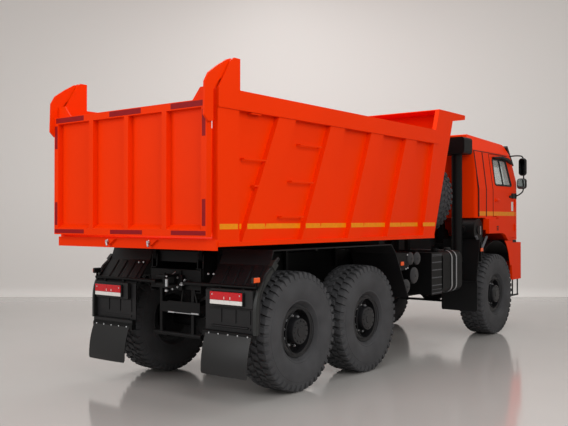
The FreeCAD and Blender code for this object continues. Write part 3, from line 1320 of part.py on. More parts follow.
def tailgate():
    """Skin with a top rail, a sloped lower rail, end posts, three ribs and two hinge arms."""
    y = ("gate_front_y", "gate_rear_y")
    wide = ("-gate_half", "gate_half")
    skin = box(wide, ("gate_front_y", "gate_front_y + gate_skin"), ("gate_bottom", "gate_top"))
    top = box(wide, y, ("gate_top - gate_top_rail", "gate_top"))
    low = panel("YZ_Plane", [("gate_front_y", "gate_bottom"), ("gate_rear_y", "gate_bottom"),
                             ("gate_rear_y", "gate_bottom + gate_low_rail - 26"),
                             ("gate_front_y + gate_skin", "gate_bottom + gate_low_rail + 20"),
                             ("gate_front_y", "gate_bottom + gate_low_rail + 20")], *wide)
    level = ("gate_bottom + 20", "gate_top - 20")
    uprights = [box(mirrored(sign, "gate_half - gate_post", "gate_half"), y, level) for _, sign in SIDES]
    for index in range(3):
        middle = f"-37 + {index - 1} * gate_rib_pitch"
        uprights.append(box((f"{middle} - gate_rib / 2", f"{middle} + gate_rib / 2"), y, level))
    arms = []
    for _, sign in SIDES:
        outline = [("gate_pin_y - 50", "gate_pin_z - 50", 48), ("gate_pin_y - 50", "gate_pin_z + 50", 48),
                   ("gate_pin_y + 70", "gate_pin_z + 58"), ("gate_pin_y + 212", "gate_pin_z - 24"),
                   ("gate_rear_y - 11", "gate_pin_z - 111"), ("gate_rear_y + 44", "gate_pin_z - 202"),
                   ("gate_rear_y + 54", "gate_top - 162"), ("gate_rear_y - 4", "gate_top - 217"),
                   ("gate_front_y", "gate_top - 211"), ("gate_front_y", "gate_pin_z - 271"),
                   ("gate_pin_y + 197", "gate_pin_z - 167"), ("gate_pin_y + 64", "gate_pin_z - 71")]
        arm = panel("YZ_Plane", outline, *mirrored(sign, "gate_half", "gate_half + arm_thick"))
        hole = bar("x", mirrored(sign, "gate_half - 5", "gate_half + arm_thick + 5")[0], "gate_pin_y",
                   "gate_pin_z", "gate_pin + running_gap", "arm_thick + 10")
        arms.append(cut(arm, hole))
        lug = panel("XZ_Plane", [(f"{sign} * 960", "gate_top"), (f"{sign} * 1070", "gate_top + 130", 25),
                                 (f"{sign} * 1190", "gate_top + 130"), (f"{sign} * gate_half", "gate_top")],
                    "gate_front_y + 10", "gate_front_y + 26")
        arms.append(lug)
    return fuse([skin, top, low] + uprights + arms)


node("tailgate", tailgate())

# ---------------------------------------------------------------- hoist

RISE = "atan((hoist_eye_z - hoist_z) / (hoist_eye_y - hoist_y))"
STROKE = "sqrt((hoist_eye_z - hoist_z) ^ 2 + (hoist_eye_y - hoist_y) ^ 2)"


def sleeve(start, end, outer, inner=None):
    """A round piece of the hoist, drawn along X from the foot pivot."""
    rod = bar("x", start, 0, 0, outer, f"({end}) - ({start})")
    if inner is None:
        return rod
    return cut(rod, bar("x", f"({start}) + 30", 0, 0, inner, f"({end}) - ({start})"))


def hoist_piece(solids, hole=None):
    """Pieces drawn along X, turned up to the hoist's rest angle at its foot."""
    union = fuse(solids) if len(solids) > 1 else solids[0]
    if hole:
        union = cut(union, hole)
    angle = number(RISE)
    turn = FreeCAD.Rotation(FreeCAD.Vector(1, 0, 0), angle) * FreeCAD.Rotation(FreeCAD.Vector(0, 0, 1), 90)
    union.Placement = FreeCAD.Placement(FreeCAD.Vector(0, number("hoist_y"), number("hoist_z")), turn)
    return union


node("hoist_barrel", hoist_piece([sleeve("-75", "930", "hoist_radius", "hoist_radius - hoist_wall"),
                                  bar("y", 0, "-128", 0, "hoist_pin", "256")]))
STAGE = "hoist_radius - hoist_wall - running_gap"
node("hoist_stage", hoist_piece([sleeve("60", "960", STAGE, f"{STAGE} - hoist_wall")]))
ROD = f"{STAGE} - hoist_wall - running_gap"
node("hoist_rod", hoist_piece([sleeve("120", f"{STROKE} - 125", ROD), bar("y", STROKE, "-48", 0, 50, "96"),
                               box(("900", f"{STROKE} - 30"), ("-40", "40"), ("-40", "40"))],
                              bar("y", STROKE, "-60", 0, "hoist_pin + open_gap", "120")))

doc.recompute()
faults = [f"{item.Label}: {item.State}" for item in doc.Objects if {"Invalid", "Error"} & set(item.State)]
faults += [f"{label}: no valid shape" for label, piece in parts.items()
           if piece.Shape.isNull() or not piece.Shape.isValid() or not piece.Shape.Solids]
if faults:
    raise ValueError("; ".join(faults))
os.makedirs("parts", exist_ok=True)
for label, piece in parts.items():
    piece.Shape.exportStep(f"parts/{label}.step")
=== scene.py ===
import json
import math
import bpy
import numpy as np
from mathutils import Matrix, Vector


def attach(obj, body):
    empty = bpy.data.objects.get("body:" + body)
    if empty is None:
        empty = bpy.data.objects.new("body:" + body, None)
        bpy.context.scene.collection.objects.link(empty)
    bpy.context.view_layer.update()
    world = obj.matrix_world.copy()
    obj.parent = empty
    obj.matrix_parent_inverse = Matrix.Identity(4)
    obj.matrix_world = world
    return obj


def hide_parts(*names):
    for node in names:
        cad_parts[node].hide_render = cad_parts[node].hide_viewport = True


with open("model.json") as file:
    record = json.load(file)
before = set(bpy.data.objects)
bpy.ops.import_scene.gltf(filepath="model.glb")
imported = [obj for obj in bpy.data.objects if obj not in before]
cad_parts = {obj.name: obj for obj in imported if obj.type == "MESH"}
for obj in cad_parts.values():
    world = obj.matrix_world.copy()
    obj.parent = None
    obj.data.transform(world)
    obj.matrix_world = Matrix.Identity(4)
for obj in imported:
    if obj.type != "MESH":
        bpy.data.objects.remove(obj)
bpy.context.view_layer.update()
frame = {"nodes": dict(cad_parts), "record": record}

# ---------------------------------------------------------------- sizes in metres

SIDES = (("left", 1), ("right", -1))
# wheels: places along the truck, half the track, and the axles' height
AXLES = {"front": -2.96, "mid": 1.14, "rear": 2.58}
WHEEL_Z = 0.672
TRACK = 1.0
SPARE_CENTRE = (-0.27, -1.64, 2.3)
TREAD_PITCHES = 44


# ---------------------------------------------------------------- meshes


def grid(points, wrap_rows=False, wrap_columns=False):
    """Faces of a grid of points (rows, columns, 3). Neighbours in both directions make one quad each."""
    rows, columns = points.shape[:2]
    index = np.arange(rows * columns).reshape(rows, columns)
    if wrap_rows:
        index = np.vstack([index, index[:1]])
    if wrap_columns:
        index = np.hstack([index, index[:, :1]])
    quads = np.stack([index[:-1, :-1], index[:-1, 1:], index[1:, 1:], index[1:, :-1]], axis=-1)
    return points.reshape(-1, 3), [tuple(face) for face in quads.reshape(-1, 4).tolist()]


def capped(rings):
    """A closed solid from a stack of equal rings (ring, point, 3), with a face on the first and the last."""
    points, faces = grid(rings, wrap_columns=True)
    count = rings.shape[1]
    last = (rings.shape[0] - 1) * count
    return points, faces + [tuple(range(count))[::-1], tuple(range(last, last + count))]


def inset(outline, depth):
    """Moves each side of a closed 2-D outline inwards by depth; corners stay mitred."""
    along = np.roll(outline, -1, axis=0) - outline
    along /= np.linalg.norm(along, axis=1, keepdims=True)
    inward = np.stack([-along[:, 1], along[:, 0]], axis=1)
    before = np.roll(inward, 1, axis=0)
    share = 1 + np.sum(before * inward, axis=1, keepdims=True)
    return outline + (before + inward) * depth / np.maximum(share, 0.2)


def anticlockwise(outline):
    """The same closed outline, turned round if it goes clockwise."""
    outline = np.asarray(outline, float)
    after = np.roll(outline, -1, axis=0)
    area = np.sum(outline[:, 0] * after[:, 1] - outline[:, 1] * after[:, 0])
    return outline if area > 0 else outline[::-1]


def slab(axis, outline, low, high, bevel=0.002):
    """A plate: a flat outline carried along one axis, its two rims drawn in by a small bevel.
    The outline is (y, z) across x, (x, z) across y and (x, y) across z."""
    outline = anticlockwise(outline)
    drawn = inset(outline, bevel)
    flats = [(drawn, low), (outline, low + bevel), (outline, high - bevel), (drawn, high)]
    place = {"x": (2, 0, 1), "y": (0, 2, 1), "z": (0, 1, 2)}[axis]
    rings = np.stack([np.column_stack([flat, np.full(len(flat), level)])[:, place] for flat, level in flats])
    if axis == "y":
        rings = rings[::-1]
    return capped(rings)


def block(x, y, z, bevel=0.003):
    """A box with softened edges between two places on each axis."""
    outline = [(x[0], y[0]), (x[1], y[0]), (x[1], y[1]), (x[0], y[1])]
    return slab("z", outline, z[0], z[1], bevel)


def arc(centre, radius, start, end, count):
    """Points on a circle between two angles in degrees."""
    turn = np.radians(np.linspace(start, end, count))
    return np.column_stack([centre[0] + radius * np.cos(turn), centre[1] + radius * np.sin(turn)])


def turned(profile, axis, centre, sides=48):
    """A turned piece. The profile is (place along the axis, radius) and each point goes once round the axis."""
    profile = np.asarray(profile, float)
    if profile[-1, 0] < profile[0, 0]:
        profile = profile[::-1]
    turn = np.linspace(0, 2 * math.pi, sides, endpoint=False)
    along = np.repeat(profile[:, :1], sides, axis=1)
    first = profile[:, 1:] * np.cos(turn)
    second = profile[:, 1:] * np.sin(turn)
    place = {"x": (along, first, second), "y": (second, along, first), "z": (first, second, along)}[axis]
    return capped(np.stack(place, axis=-1) + np.asarray(centre, float))


def path(points, radius, sides=12, closed=False):
    """A round bar along a line of points: at each point a circle stands across the mean of the two runs."""
    points = np.asarray(points, float)
    ahead = np.roll(points, -1, axis=0) - points
    behind = points - np.roll(points, 1, axis=0)
    if not closed:
        ahead[-1] = behind[-1]
        behind[0] = ahead[0]
    ahead /= np.linalg.norm(ahead, axis=1, keepdims=True)
    behind /= np.linalg.norm(behind, axis=1, keepdims=True)
    line = ahead + behind
    stretch = 2 / np.linalg.norm(line, axis=1, keepdims=True)
    line /= np.linalg.norm(line, axis=1, keepdims=True)
    spread = points.max(axis=0) - points.min(axis=0)
    level = np.eye(3)[int(np.argmin(spread))]
    side = np.cross(line, level)
    side /= np.linalg.norm(side, axis=1, keepdims=True)
    upright = np.cross(line, side)
    turn = np.linspace(0, 2 * math.pi, sides, endpoint=False)
    rings = (points[:, None] + radius * stretch[:, None] * side[:, None] * np.cos(turn)[None, :, None]
             + radius * upright[:, None] * np.sin(turn)[None, :, None])
    if closed:
        return grid(rings, wrap_rows=True, wrap_columns=True)
    return capped(rings)


def bent(corners, radius, steps=5):
    """Rounds the corners of a line of points: each becomes a short curve between points on its two sides,
    (1 - t)^2 start + 2 t (1 - t) corner + t^2 end. Points that fall together are left out once."""
    corners = np.asarray(corners, float)
    share = np.linspace(0, 1, steps)[:, None]
    line = [corners[:1]]
    for before, corner, after in zip(corners, corners[1:], corners[2:]):
        start = corner + (before - corner) * min(radius / np.linalg.norm(before - corner), 0.5)
        end = corner + (after - corner) * min(radius / np.linalg.norm(after - corner), 0.5)
        line.append((1 - share) ** 2 * start + 2 * share * (1 - share) * corner + share ** 2 * end)
    line.append(corners[-1:])
    line = np.vstack(line)
    apart = np.linalg.norm(np.diff(line, axis=0), axis=1) > 1e-6
    return line[np.append(True, apart)]


def piece(name, solids, material, body, smooth=30, replaces=()):
    """Joins solids into one object that rides on a body, smooth where faces meet at less than smooth degrees."""
    points, faces, count = [], [], 0
    for solid_points, solid_faces in solids:
        points.append(solid_points)
        faces.extend(tuple(corner + count for corner in face) for face in solid_faces)
        count += len(solid_points)
    mesh = bpy.data.meshes.new(name)
    mesh.from_pydata(np.vstack(points).tolist(), [], faces)
    mesh.validate()
    mesh.shade_smooth()
    mesh.set_sharp_from_angle(angle=math.radians(smooth))
    mesh.materials.append(material)
    item = bpy.data.objects.new(name, mesh)
    bpy.context.scene.collection.objects.link(item)
    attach(item, body)
    if replaces:
        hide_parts(*replaces)
    return item


# ---------------------------------------------------------------- materials


def linear(text):
    """An sRGB hex colour as linear red, green, blue and alpha."""
    values = [int(text[i:i + 2], 16) / 255 for i in (1, 3, 5)]
    return [v / 12.92 if v <= 0.04045 else ((v + 0.055) / 1.055) ** 2.4 for v in values] + [1.0]


def add(tree, kind, settings=None, **links):
    """Adds a shader node, with its settings, and joins its inputs to other nodes' outputs."""
    made = tree.nodes.new(kind)
    for key, value in (settings or {}).items():
        if key in made.inputs:
            made.inputs[key].default_value = value
        else:
            setattr(made, key, value)
    for key, (source, output) in links.items():
        tree.links.new(source.outputs[output], made.inputs[key.replace("_", " ")])
    return made


def finish(name, colour, roughness, metallic=0.0, coat=0.0, speck=0.0, grain_mm=400.0, bump_mm=0.0,
           bump_size_mm=3.0, gloss=0.5):
    """A surface whose colour wavers a little over a large grain, with an optional fine bump."""
    material = bpy.data.materials.new(name)
    material.use_nodes = True
    tree = material.node_tree
    tree.nodes.clear()
    shader = add(tree, "ShaderNodeBsdfPrincipled",
                 {"Base Color": linear(colour), "Roughness": roughness, "Metallic": metallic,
                  "Specular IOR Level": gloss, "Coat Weight": coat, "Coat Roughness": 0.12})
    place = add(tree, "ShaderNodeTexCoord")
    if speck:
        cloud = add(tree, "ShaderNodeTexNoise", {"Scale": 1000 / grain_mm, "Detail": 4.0},
                    Vector=(place, "Object"))
        ramp = add(tree, "ShaderNodeMapRange",
                   {"To Min": 1 - speck, "To Max": 1 + speck, "From Min": 0.3, "From Max": 0.7},
                   Value=(cloud, "Fac"))
        tint = add(tree, "ShaderNodeHueSaturation", {"Color": linear(colour)}, Value=(ramp, "Result"))
        tree.links.new(tint.outputs["Color"], shader.inputs["Base Color"])
    if bump_mm:
        pits = add(tree, "ShaderNodeTexNoise", {"Scale": 1000 / bump_size_mm, "Detail": 2.0},
                   Vector=(place, "Object"))
        relief = add(tree, "ShaderNodeBump", {"Distance": bump_mm / 1000, "Strength": 0.6},
                     Height=(pits, "Fac"))
        tree.links.new(relief.outputs["Normal"], shader.inputs["Normal"])
    add(tree, "ShaderNodeOutputMaterial", Surface=(shader, "BSDF"))
    return material


def window_glass():
    """Toughened glass: clear, faintly green, and mirror smooth."""
    material = bpy.data.materials.new("toughened_glass")
    material.use_nodes = True
    tree = material.node_tree
    tree.nodes.clear()
    shader = add(tree, "ShaderNodeBsdfPrincipled",
                 {"Base Color": linear("#DDE8E4"), "Roughness": 0.02, "IOR": 1.5, "Alpha": 0.3})
    add(tree, "ShaderNodeOutputMaterial", Surface=(shader, "BSDF"))
    return material


ORANGE_PAINT = "#EC3400"
BLACK_PAINT = "#0A0A0B"
# two-pack polyurethane on steel: bright and even, half matt, with hardly any white in its sheen
ORANGE = finish("orange_polyurethane", ORANGE_PAINT, 0.42, speck=0.025, grain_mm=900, gloss=0.06)
# chassis enamel: black, half matt, a little dusty
ENAMEL = finish("black_chassis_enamel", BLACK_PAINT, 0.5, speck=0.2, grain_mm=250, gloss=0.2)
# wheel enamel: black with more shine than the frame
WHEEL_BLACK = finish("black_wheel_enamel", "#1C1C1E", 0.36, speck=0.1, grain_mm=120, gloss=0.4)
# carbon-filled tyre rubber: dark grey, matt, dusty in patches
RUBBER = finish("tyre_rubber", "#444446", 0.75, speck=0.14, grain_mm=180, bump_mm=0.6, bump_size_mm=6,
                gloss=0.3)
# sheet rubber of the flaps: smooth, black, with a soft sheen where it bends
FLAP = finish("sheet_rubber", "#101011", 0.36, speck=0.1, grain_mm=300, gloss=0.45)
# moulded polypropylene with a grained skin
PLASTIC = finish("grained_polypropylene", "#0C0C0D", 0.5, speck=0.08, grain_mm=200, bump_mm=0.3, bump_size_mm=4,
                 gloss=0.25)
# the guards' polypropylene: a finer grain, half matt, and a little paler than the other black plastic as a painted
# highlight on the guards' slopes
GUARD = finish("smooth_polypropylene", "#121113", 0.5, speck=0.08, grain_mm=260, bump_mm=0.15, bump_size_mm=5,
               gloss=0.35)
# the guards' outer edge: the same plastic, shinier, and paler all along as a painted highlight on the folded band
GUARD_EDGE = finish("highlight_pale_polypropylene", "#1C1E1D", 0.4, speck=0.1, grain_mm=120, gloss=0.5)
# the battery box's ribs and the struts: plastic painted pale grey, a painted highlight along their edges
RIB_PLASTIC = finish("highlight_grey_polypropylene", "#565659", 0.5, speck=0.12, grain_mm=60, gloss=0.3)
# enamel on the air vessels: dark grey with a soft shine
VESSEL = finish("grey_vessel_enamel", "#2A2A2C", 0.4, speck=0.1, grain_mm=80, gloss=0.45)
# zinc plate: pale grey metal, slightly dull
ZINC = finish("zinc_plate", "#C9CBCE", 0.35, metallic=0.85, speck=0.06, grain_mm=12)
# rolled aluminium of the tank's straps and the silencer
ALUMINIUM = finish("rolled_aluminium", "#B4B6B9", 0.4, metallic=0.85, speck=0.05, grain_mm=20)
# hard chrome on the hoist's rods and the headlamps' rings: bright and smooth
CHROME = finish("hard_chrome", "#D6D8DA", 0.12, metallic=1.0)
# paint over sand-cast iron: dull, uneven
CAST = finish("cast_iron_paint", "#1B1B1C", 0.6, speck=0.2, grain_mm=60, bump_mm=0.4, bump_size_mm=5)
# acrylic lenses: one even colour under a hard, clear coat
RED_LENS = finish("red_acrylic", "#C8101C", 0.15, coat=0.3, speck=0.06, grain_mm=25)
WHITE_LENS = finish("white_acrylic", "#E6E4E0", 0.2, coat=0.3, speck=0.04, grain_mm=25)
AMBER_LENS = finish("amber_acrylic", "#F0560A", 0.2, coat=0.3, speck=0.06, grain_mm=20)
# glass-bead reflective films: flat colour with a slight mottle
RED_TAPE = finish("red_reflective_film", "#8E0A12", 0.5, speck=0.08, grain_mm=40, gloss=0.15)
YELLOW_TAPE = finish("yellow_reflective_film", "#E88A08", 0.45, speck=0.06, grain_mm=40, gloss=0.2)
# self-adhesive label stock, blank
LABEL = finish("white_label_film", "#DCD8D2", 0.45, speck=0.03, grain_mm=60)
# moulded rubber of seals, seams, wipers and mirror housings
SEAL = finish("moulded_rubber_seal", "#0D0D0E", 0.6, speck=0.08, grain_mm=30)
# silvered glass of the mirrors
MIRROR = finish("silvered_glass", "#D8DADC", 0.04, metallic=1.0)
# tinted glass of the tall mirrors
DARK_MIRROR = finish("tinted_silvered_glass", "#2A2B2E", 0.06, metallic=1.0)
# woven seat cloth: matt, with a fine mottle of threads drawn coarse enough to show
FABRIC = finish("woven_seat_fabric", "#2C2E33", 0.9, speck=0.2, grain_mm=5, bump_mm=0.4, bump_size_mm=2)
GLASS = window_glass()


def sill_paint(edge_y):
    """The bed's frame: orange on the beam behind a place along the truck, and chassis black in front of it."""
    material = finish("sill_polyurethane", ORANGE_PAINT, 0.45, gloss=0.06)
    tree = material.node_tree
    shader = next(node for node in tree.nodes if node.type == "BSDF_PRINCIPLED")
    place = next(node for node in tree.nodes if node.type == "TEX_COORD")
    axes = add(tree, "ShaderNodeSeparateXYZ", Vector=(place, "Object"))
    behind = add(tree, "ShaderNodeMath", {"operation": "GREATER_THAN"})
    tree.links.new(axes.outputs["Y"], behind.inputs[0])
    behind.inputs[1].default_value = edge_y
    colour = add(tree, "ShaderNodeMix", {"data_type": "RGBA"})
    tree.links.new(behind.outputs["Value"], colour.inputs["Factor"])
    colour.inputs[6].default_value = linear(BLACK_PAINT)
    colour.inputs[7].default_value = linear(ORANGE_PAINT)
    tree.links.new(colour.outputs[2], shader.inputs["Base Color"])
    return material


BEAM_START = 3.93
SILL = sill_paint(BEAM_START)

BY_SLOT = {"orange_paint": ORANGE, "black_paint": ENAMEL, "frame_black": ENAMEL, "tyre_rubber": RUBBER,
           "glass": GLASS, "black_plastic": PLASTIC, "cast_metal": CAST, "dull_aluminium": ALUMINIUM,
           "chromed_steel": CHROME, "flap_rubber": FLAP, "red_lens": RED_LENS, "seat_fabric": FABRIC}
BY_NODE = {"bed_underframe": SILL, "mudguards": GUARD}
for part in frame["record"]["subparts"]:
    node = frame["nodes"][part["node"]]
    material = BY_NODE.get(part["node"], BY_SLOT[part["material_slot"]])
    if part["node"].startswith(("rim", "spare_rim")):
        material = WHEEL_BLACK
    if not node.material_slots:
        node.data.materials.append(material)
    for place in node.material_slots:
        place.material = material


# ---------------------------------------------------------------- stage


# the camera: place, turn from -Y towards +X, tilt up, and lens in millimetres
CAMERA = (-6.3091, 9.4896, 1.9243)
CAMERA_YAW, CAMERA_PITCH = math.radians(37.7846), math.radians(0.4715)
CAMERA_LENS, CAMERA_SENSOR = 48.75, 36
# the backdrop, measured from the camera: the floor's start, the wall's foot, the bend between them, the wall's
# top, and half the width
FLOOR_START, WALL_FOOT, WALL_BEND, WALL_TOP, BACKDROP_HALF = -14, 18.9, 0.25, 14, 30
# each lamp is (name, place, target, size, watts, whether it shows in reflections)
STUDIO_LAMPS = (("overhead", (0.5, 0, 8.5), (0, 0, 0), 9, 520, True),
                ("key", (-9, 6, 6.5), (0, 0, 1.8), 6, 520, False),
                ("rear", (2, 12, 5), (0, 3, 1.6), 6, 380, True))


def wall_paint():
    """Matt wall paint, which lets the view through from behind, so that the front of the truck can be seen."""
    wall = finish("painted_wall", "#E6E3E0", 0.8)
    tree = wall.node_tree
    paint = next(node for node in tree.nodes if node.type == "BSDF_PRINCIPLED")
    output = next(node for node in tree.nodes if node.type == "OUTPUT_MATERIAL")
    behind = add(tree, "ShaderNodeNewGeometry")
    away = add(tree, "ShaderNodeBsdfTransparent")
    either = add(tree, "ShaderNodeMixShader", Fac=(behind, "Backfacing"))
    tree.links.new(paint.outputs[0], either.inputs[1])
    tree.links.new(away.outputs[0], either.inputs[2])
    tree.links.new(either.outputs[0], output.inputs["Surface"])
    return wall


def studio():
    """A pale floor that bends up into a wall, soft lamps and the camera."""
    yaw, pitch = CAMERA_YAW, CAMERA_PITCH
    ahead = Vector((math.sin(yaw) * math.cos(pitch), -math.cos(yaw) * math.cos(pitch), math.sin(pitch)))
    spot = bpy.data.objects.new("camera", bpy.data.cameras.new("camera"))
    spot.location = CAMERA
    spot.rotation_euler = ahead.to_track_quat("-Z", "Y").to_euler()
    spot.data.lens = CAMERA_LENS
    spot.data.sensor_width = CAMERA_SENSOR
    bpy.context.scene.collection.objects.link(spot)
    bpy.context.scene.camera = spot
    # floor and wall: one profile (distance, height) carried sideways
    level = np.array([(FLOOR_START, 0), (WALL_FOOT, 0), *arc((WALL_FOOT, WALL_BEND), WALL_BEND, 270, 360, 8),
                      (WALL_FOOT + WALL_BEND, WALL_TOP)])
    across = np.linspace(BACKDROP_HALF, -BACKDROP_HALF, 3)
    flat = np.array([math.sin(yaw), -math.cos(yaw)])
    side = np.array([math.cos(yaw), math.sin(yaw)])
    ground = np.array(CAMERA[:2]) + level[:, None, :1] * flat + across[None, :, None] * side
    height = np.repeat(level[:, None, 1:], len(across), axis=1)
    points, faces = grid(np.concatenate([ground, height], axis=-1))
    mesh = bpy.data.meshes.new("backdrop")
    mesh.from_pydata(points.tolist(), [], faces)
    mesh.shade_smooth()
    mesh.materials.append(finish("sealed_floor", "#B6B3B0", 0.11, speck=0.03, grain_mm=2500, gloss=1.0))
    mesh.materials.append(wall_paint())
    for face in mesh.polygons:
        face.material_index = int(max(mesh.vertices[corner].co.z for corner in face.vertices) > 0.01)
    backdrop = bpy.data.objects.new("backdrop", mesh)
    bpy.context.scene.collection.objects.link(backdrop)
    for name, place, target, size, power, reflected in STUDIO_LAMPS:
        lamp = bpy.data.objects.new(name, bpy.data.lights.new(name, "AREA"))
        lamp.data.size = size
        lamp.data.energy = power
        lamp.location = place
        lamp.visible_glossy = reflected
        lamp.rotation_euler = (Vector(target) - Vector(place)).to_track_quat("-Z", "Y").to_euler()
        bpy.context.scene.collection.objects.link(lamp)
    world = bpy.data.worlds.new("studio_air")
    bpy.context.scene.world = world
    world.use_nodes = True
    world.node_tree.nodes.clear()
    sky = add(world.node_tree, "ShaderNodeBackground", {"Color": linear("#E9E6E2"), "Strength": 0.55})
    add(world.node_tree, "ShaderNodeOutputWorld", Surface=(sky, "Background"))
    bpy.context.scene.view_settings.view_transform = "Standard"


studio()

# ---------------------------------------------------------------- wheels


def tread_rows():
    """Rows across one half of the tyre, from the bead to the middle of the tread.
    Each is (groove side, groove radius, lug side, lug radius, raised, pitch shift): the side is the distance from
    the tyre's middle, and the shift slants the lugs by a share of their pitch."""
    smooth = [(0.123, 0.2545), (0.124, 0.296), (0.150, 0.316), (0.172, 0.330), (0.183, 0.338), (0.187, 0.346),
              (0.185, 0.354), (0.193, 0.372), (0.206, 0.41), (0.213, 0.45), (0.2148, 0.49), (0.2135, 0.53),
              (0.211, 0.556), (0.2075, 0.560), (0.2065, 0.574)]
    rows = [(u, r, u, r, 0, 0.0) for u, r in smooth]
    shoulder = [(0.203, 0.590, 0.2065, 0.590, 0), (0.199, 0.600, 0.2085, 0.594, 1), (0.190, 0.628, 0.2065, 0.630, 1),
                (0.176, 0.644, 0.198, 0.657, 1), (0.150, 0.650, 0.178, 0.6665, 1), (0.128, 0.650, 0.134, 0.6695, 1),
                (0.105, 0.650, 0.107, 0.6705, 1), (0.103, 0.650, 0.103, 0.6505, 0)]
    rows += [(bu, br, tu, tr, on, 0.25 * (0.2 - min(tu, 0.2)) / 0.1) for bu, br, tu, tr, on in shoulder]
    middle = [(0.090, 0.650, 0.090, 0.6505, 0), (0.0885, 0.650, 0.087, 0.671, 1), (0.060, 0.650, 0.060, 0.6718, 1),
              (0.036, 0.650, 0.036, 0.672, 1), (0.012, 0.650, 0.0135, 0.672, 1), (0.0105, 0.650, 0.0105, 0.6505, 0)]
    rows += [(bu, br, tu, tr, on, 0.75 + 0.35 * (0.09 - tu) / 0.08) for bu, br, tu, tr, on in middle]
    return rows


def tyre_solid(centre, axis):
    """An off-road tyre. One parameter goes round in steps that fall on the lugs' edges, and the other goes across.
    Each point lies on the groove floor or, where a lug stands, on the lug's face."""
    half = tread_rows()
    other = [(-bu, br, -tu, tr, on, shift + 0.5) for bu, br, tu, tr, on, shift in reversed(half)]
    lining = ((0.154, 0.61), (0.189, 0.522), (0.189, 0.404), (0.093, 0.304), (0.093, 0.2545))
    bore = [(-u, r, -u, r, 0, 0.0) for u, r in reversed(lining)] + [(u, r, u, r, 0, 0.0) for u, r in lining]
    rows = np.array(half + other + bore)
    lug = np.array([(0.0, 0), (0.05, 1), (0.3, 1), (0.56, 1), (0.61, 0), (0.8, 0)])
    around = (np.arange(TREAD_PITCHES)[:, None] + lug[:, 0]).ravel()
    raised = np.tile(lug[:, 1], TREAD_PITCHES)[None, :] * rows[:, 4:5]
    side = rows[:, 0:1] + raised * (rows[:, 2:3] - rows[:, 0:1])
    radius = rows[:, 1:2] + raised * (rows[:, 3:4] - rows[:, 1:2])
    turn = 2 * math.pi * (around[None, :] + rows[:, 5:6]) / TREAD_PITCHES
    first, second = radius * np.cos(turn), radius * np.sin(turn)
    place = {"x": (side, first, second), "y": (second, side, first)}[axis]
    points, faces = grid(np.stack(place, axis=-1) + np.asarray(centre, float), wrap_rows=True, wrap_columns=True)
    return points, [face[::-1] for face in faces]


def nuts(centre, outward, ring, height, radius, count, start=0.0):
    """Hexagonal nuts with their studs' ends, on a circle that faces along x."""
    solids = []
    nut = [(0, radius), (outward * height * 0.85, radius), (outward * height, radius * 0.8)]
    stud = [(0, radius * 0.5), (outward * height * 1.35, radius * 0.5)]
    for turn in np.linspace(0, 2 * math.pi, count, endpoint=False) + start:
        spot = np.asarray(centre, float) + (0, ring * math.cos(turn), ring * math.sin(turn))
        solids += [turned(nut, "x", spot, 6), turned(stud, "x", spot, 8)]
    return solids


# the planetary hub's cover: (place outwards from the middle of the tyre, radius), and the disc on its face
HUB_COVER = ((0.055, 0.147), (0.172, 0.147), (0.184, 0.141), (0.189, 0.128), (0.1895, 0.06))
HUB_DISC = ((0.1885, 0.06), (0.197, 0.056))
# the nuts' face and the hub bolts' face, outwards from the middle of the tyre, and the circles they stand on
NUT_FACE, NUT_CIRCLE = 0.058, 0.171
BOLT_FACE, BOLT_CIRCLE = 0.19, 0.118
# the rim's rolled lip: place and radius
LIP_FACE, LIP_RADIUS = 0.1775, 0.2615

for row, y in AXLES.items():
    for side, sign in SIDES:
        centre = (sign * TRACK, y, WHEEL_Z)
        body = f"wheel_{row}_{side}"
        piece(f"lugged_tyre_{row}_{side}", [tyre_solid(centre, "x")], RUBBER, body, 25,
              [f"tyre_{row}_{side}"])
        wheel_nuts = nuts((sign * (TRACK + NUT_FACE), y, WHEEL_Z), sign, NUT_CIRCLE, 0.03, 0.016, 10, 0.2)
        piece(f"wheel_nuts_{row}_{side}", wheel_nuts, ZINC, body)
        cover = turned([(sign * u, r) for u, r in HUB_COVER], "x", centre, 48)
        disc = turned([(sign * u, r) for u, r in HUB_DISC], "x", centre, 32)
        bolts = nuts((sign * (TRACK + BOLT_FACE), y, WHEEL_Z), sign, BOLT_CIRCLE, 0.007, 0.008, 12)
        circle = arc((y, WHEEL_Z), LIP_RADIUS, 0, 354.375, 64)
        lip = path(np.column_stack([np.full(64, sign * (TRACK + LIP_FACE)), circle]), 0.006, 8, closed=True)
        piece(f"hub_cover_{row}_{side}", [cover, disc, lip] + bolts, WHEEL_BLACK, body)
piece("lugged_tyre_spare", [tyre_solid(SPARE_CENTRE, "y")], RUBBER, "chassis", 25, ["spare_tyre"])

# ---------------------------------------------------------------- tail

# places of the rear faces along the truck: tailgate, the bed's rear beam, lamp plates and mud flaps
GATE_FACE = 4.116
BEAM_FACE = 4.026
TAIL_FACE = 3.45
FLAP_FACE = 3.499


def span(sign, near, far):
    """Two places on one side of the truck, the lower one first."""
    return tuple(sorted((sign * near, sign * far)))


def film(face):
    """How deep a strip of tape lies on a face: a little sunk and a little proud, so that it has no gap."""
    return face - 0.001, face + 0.0012


def side_tape(sign, face, y, z):
    """A strip of tape on a face that looks out along x."""
    return block(span(sign, *film(face)), y, z, 0.0005)


def gate_tape(x, z):
    """A strip of tape on the tailgate."""
    return block(x, film(GATE_FACE), z, 0.0005)


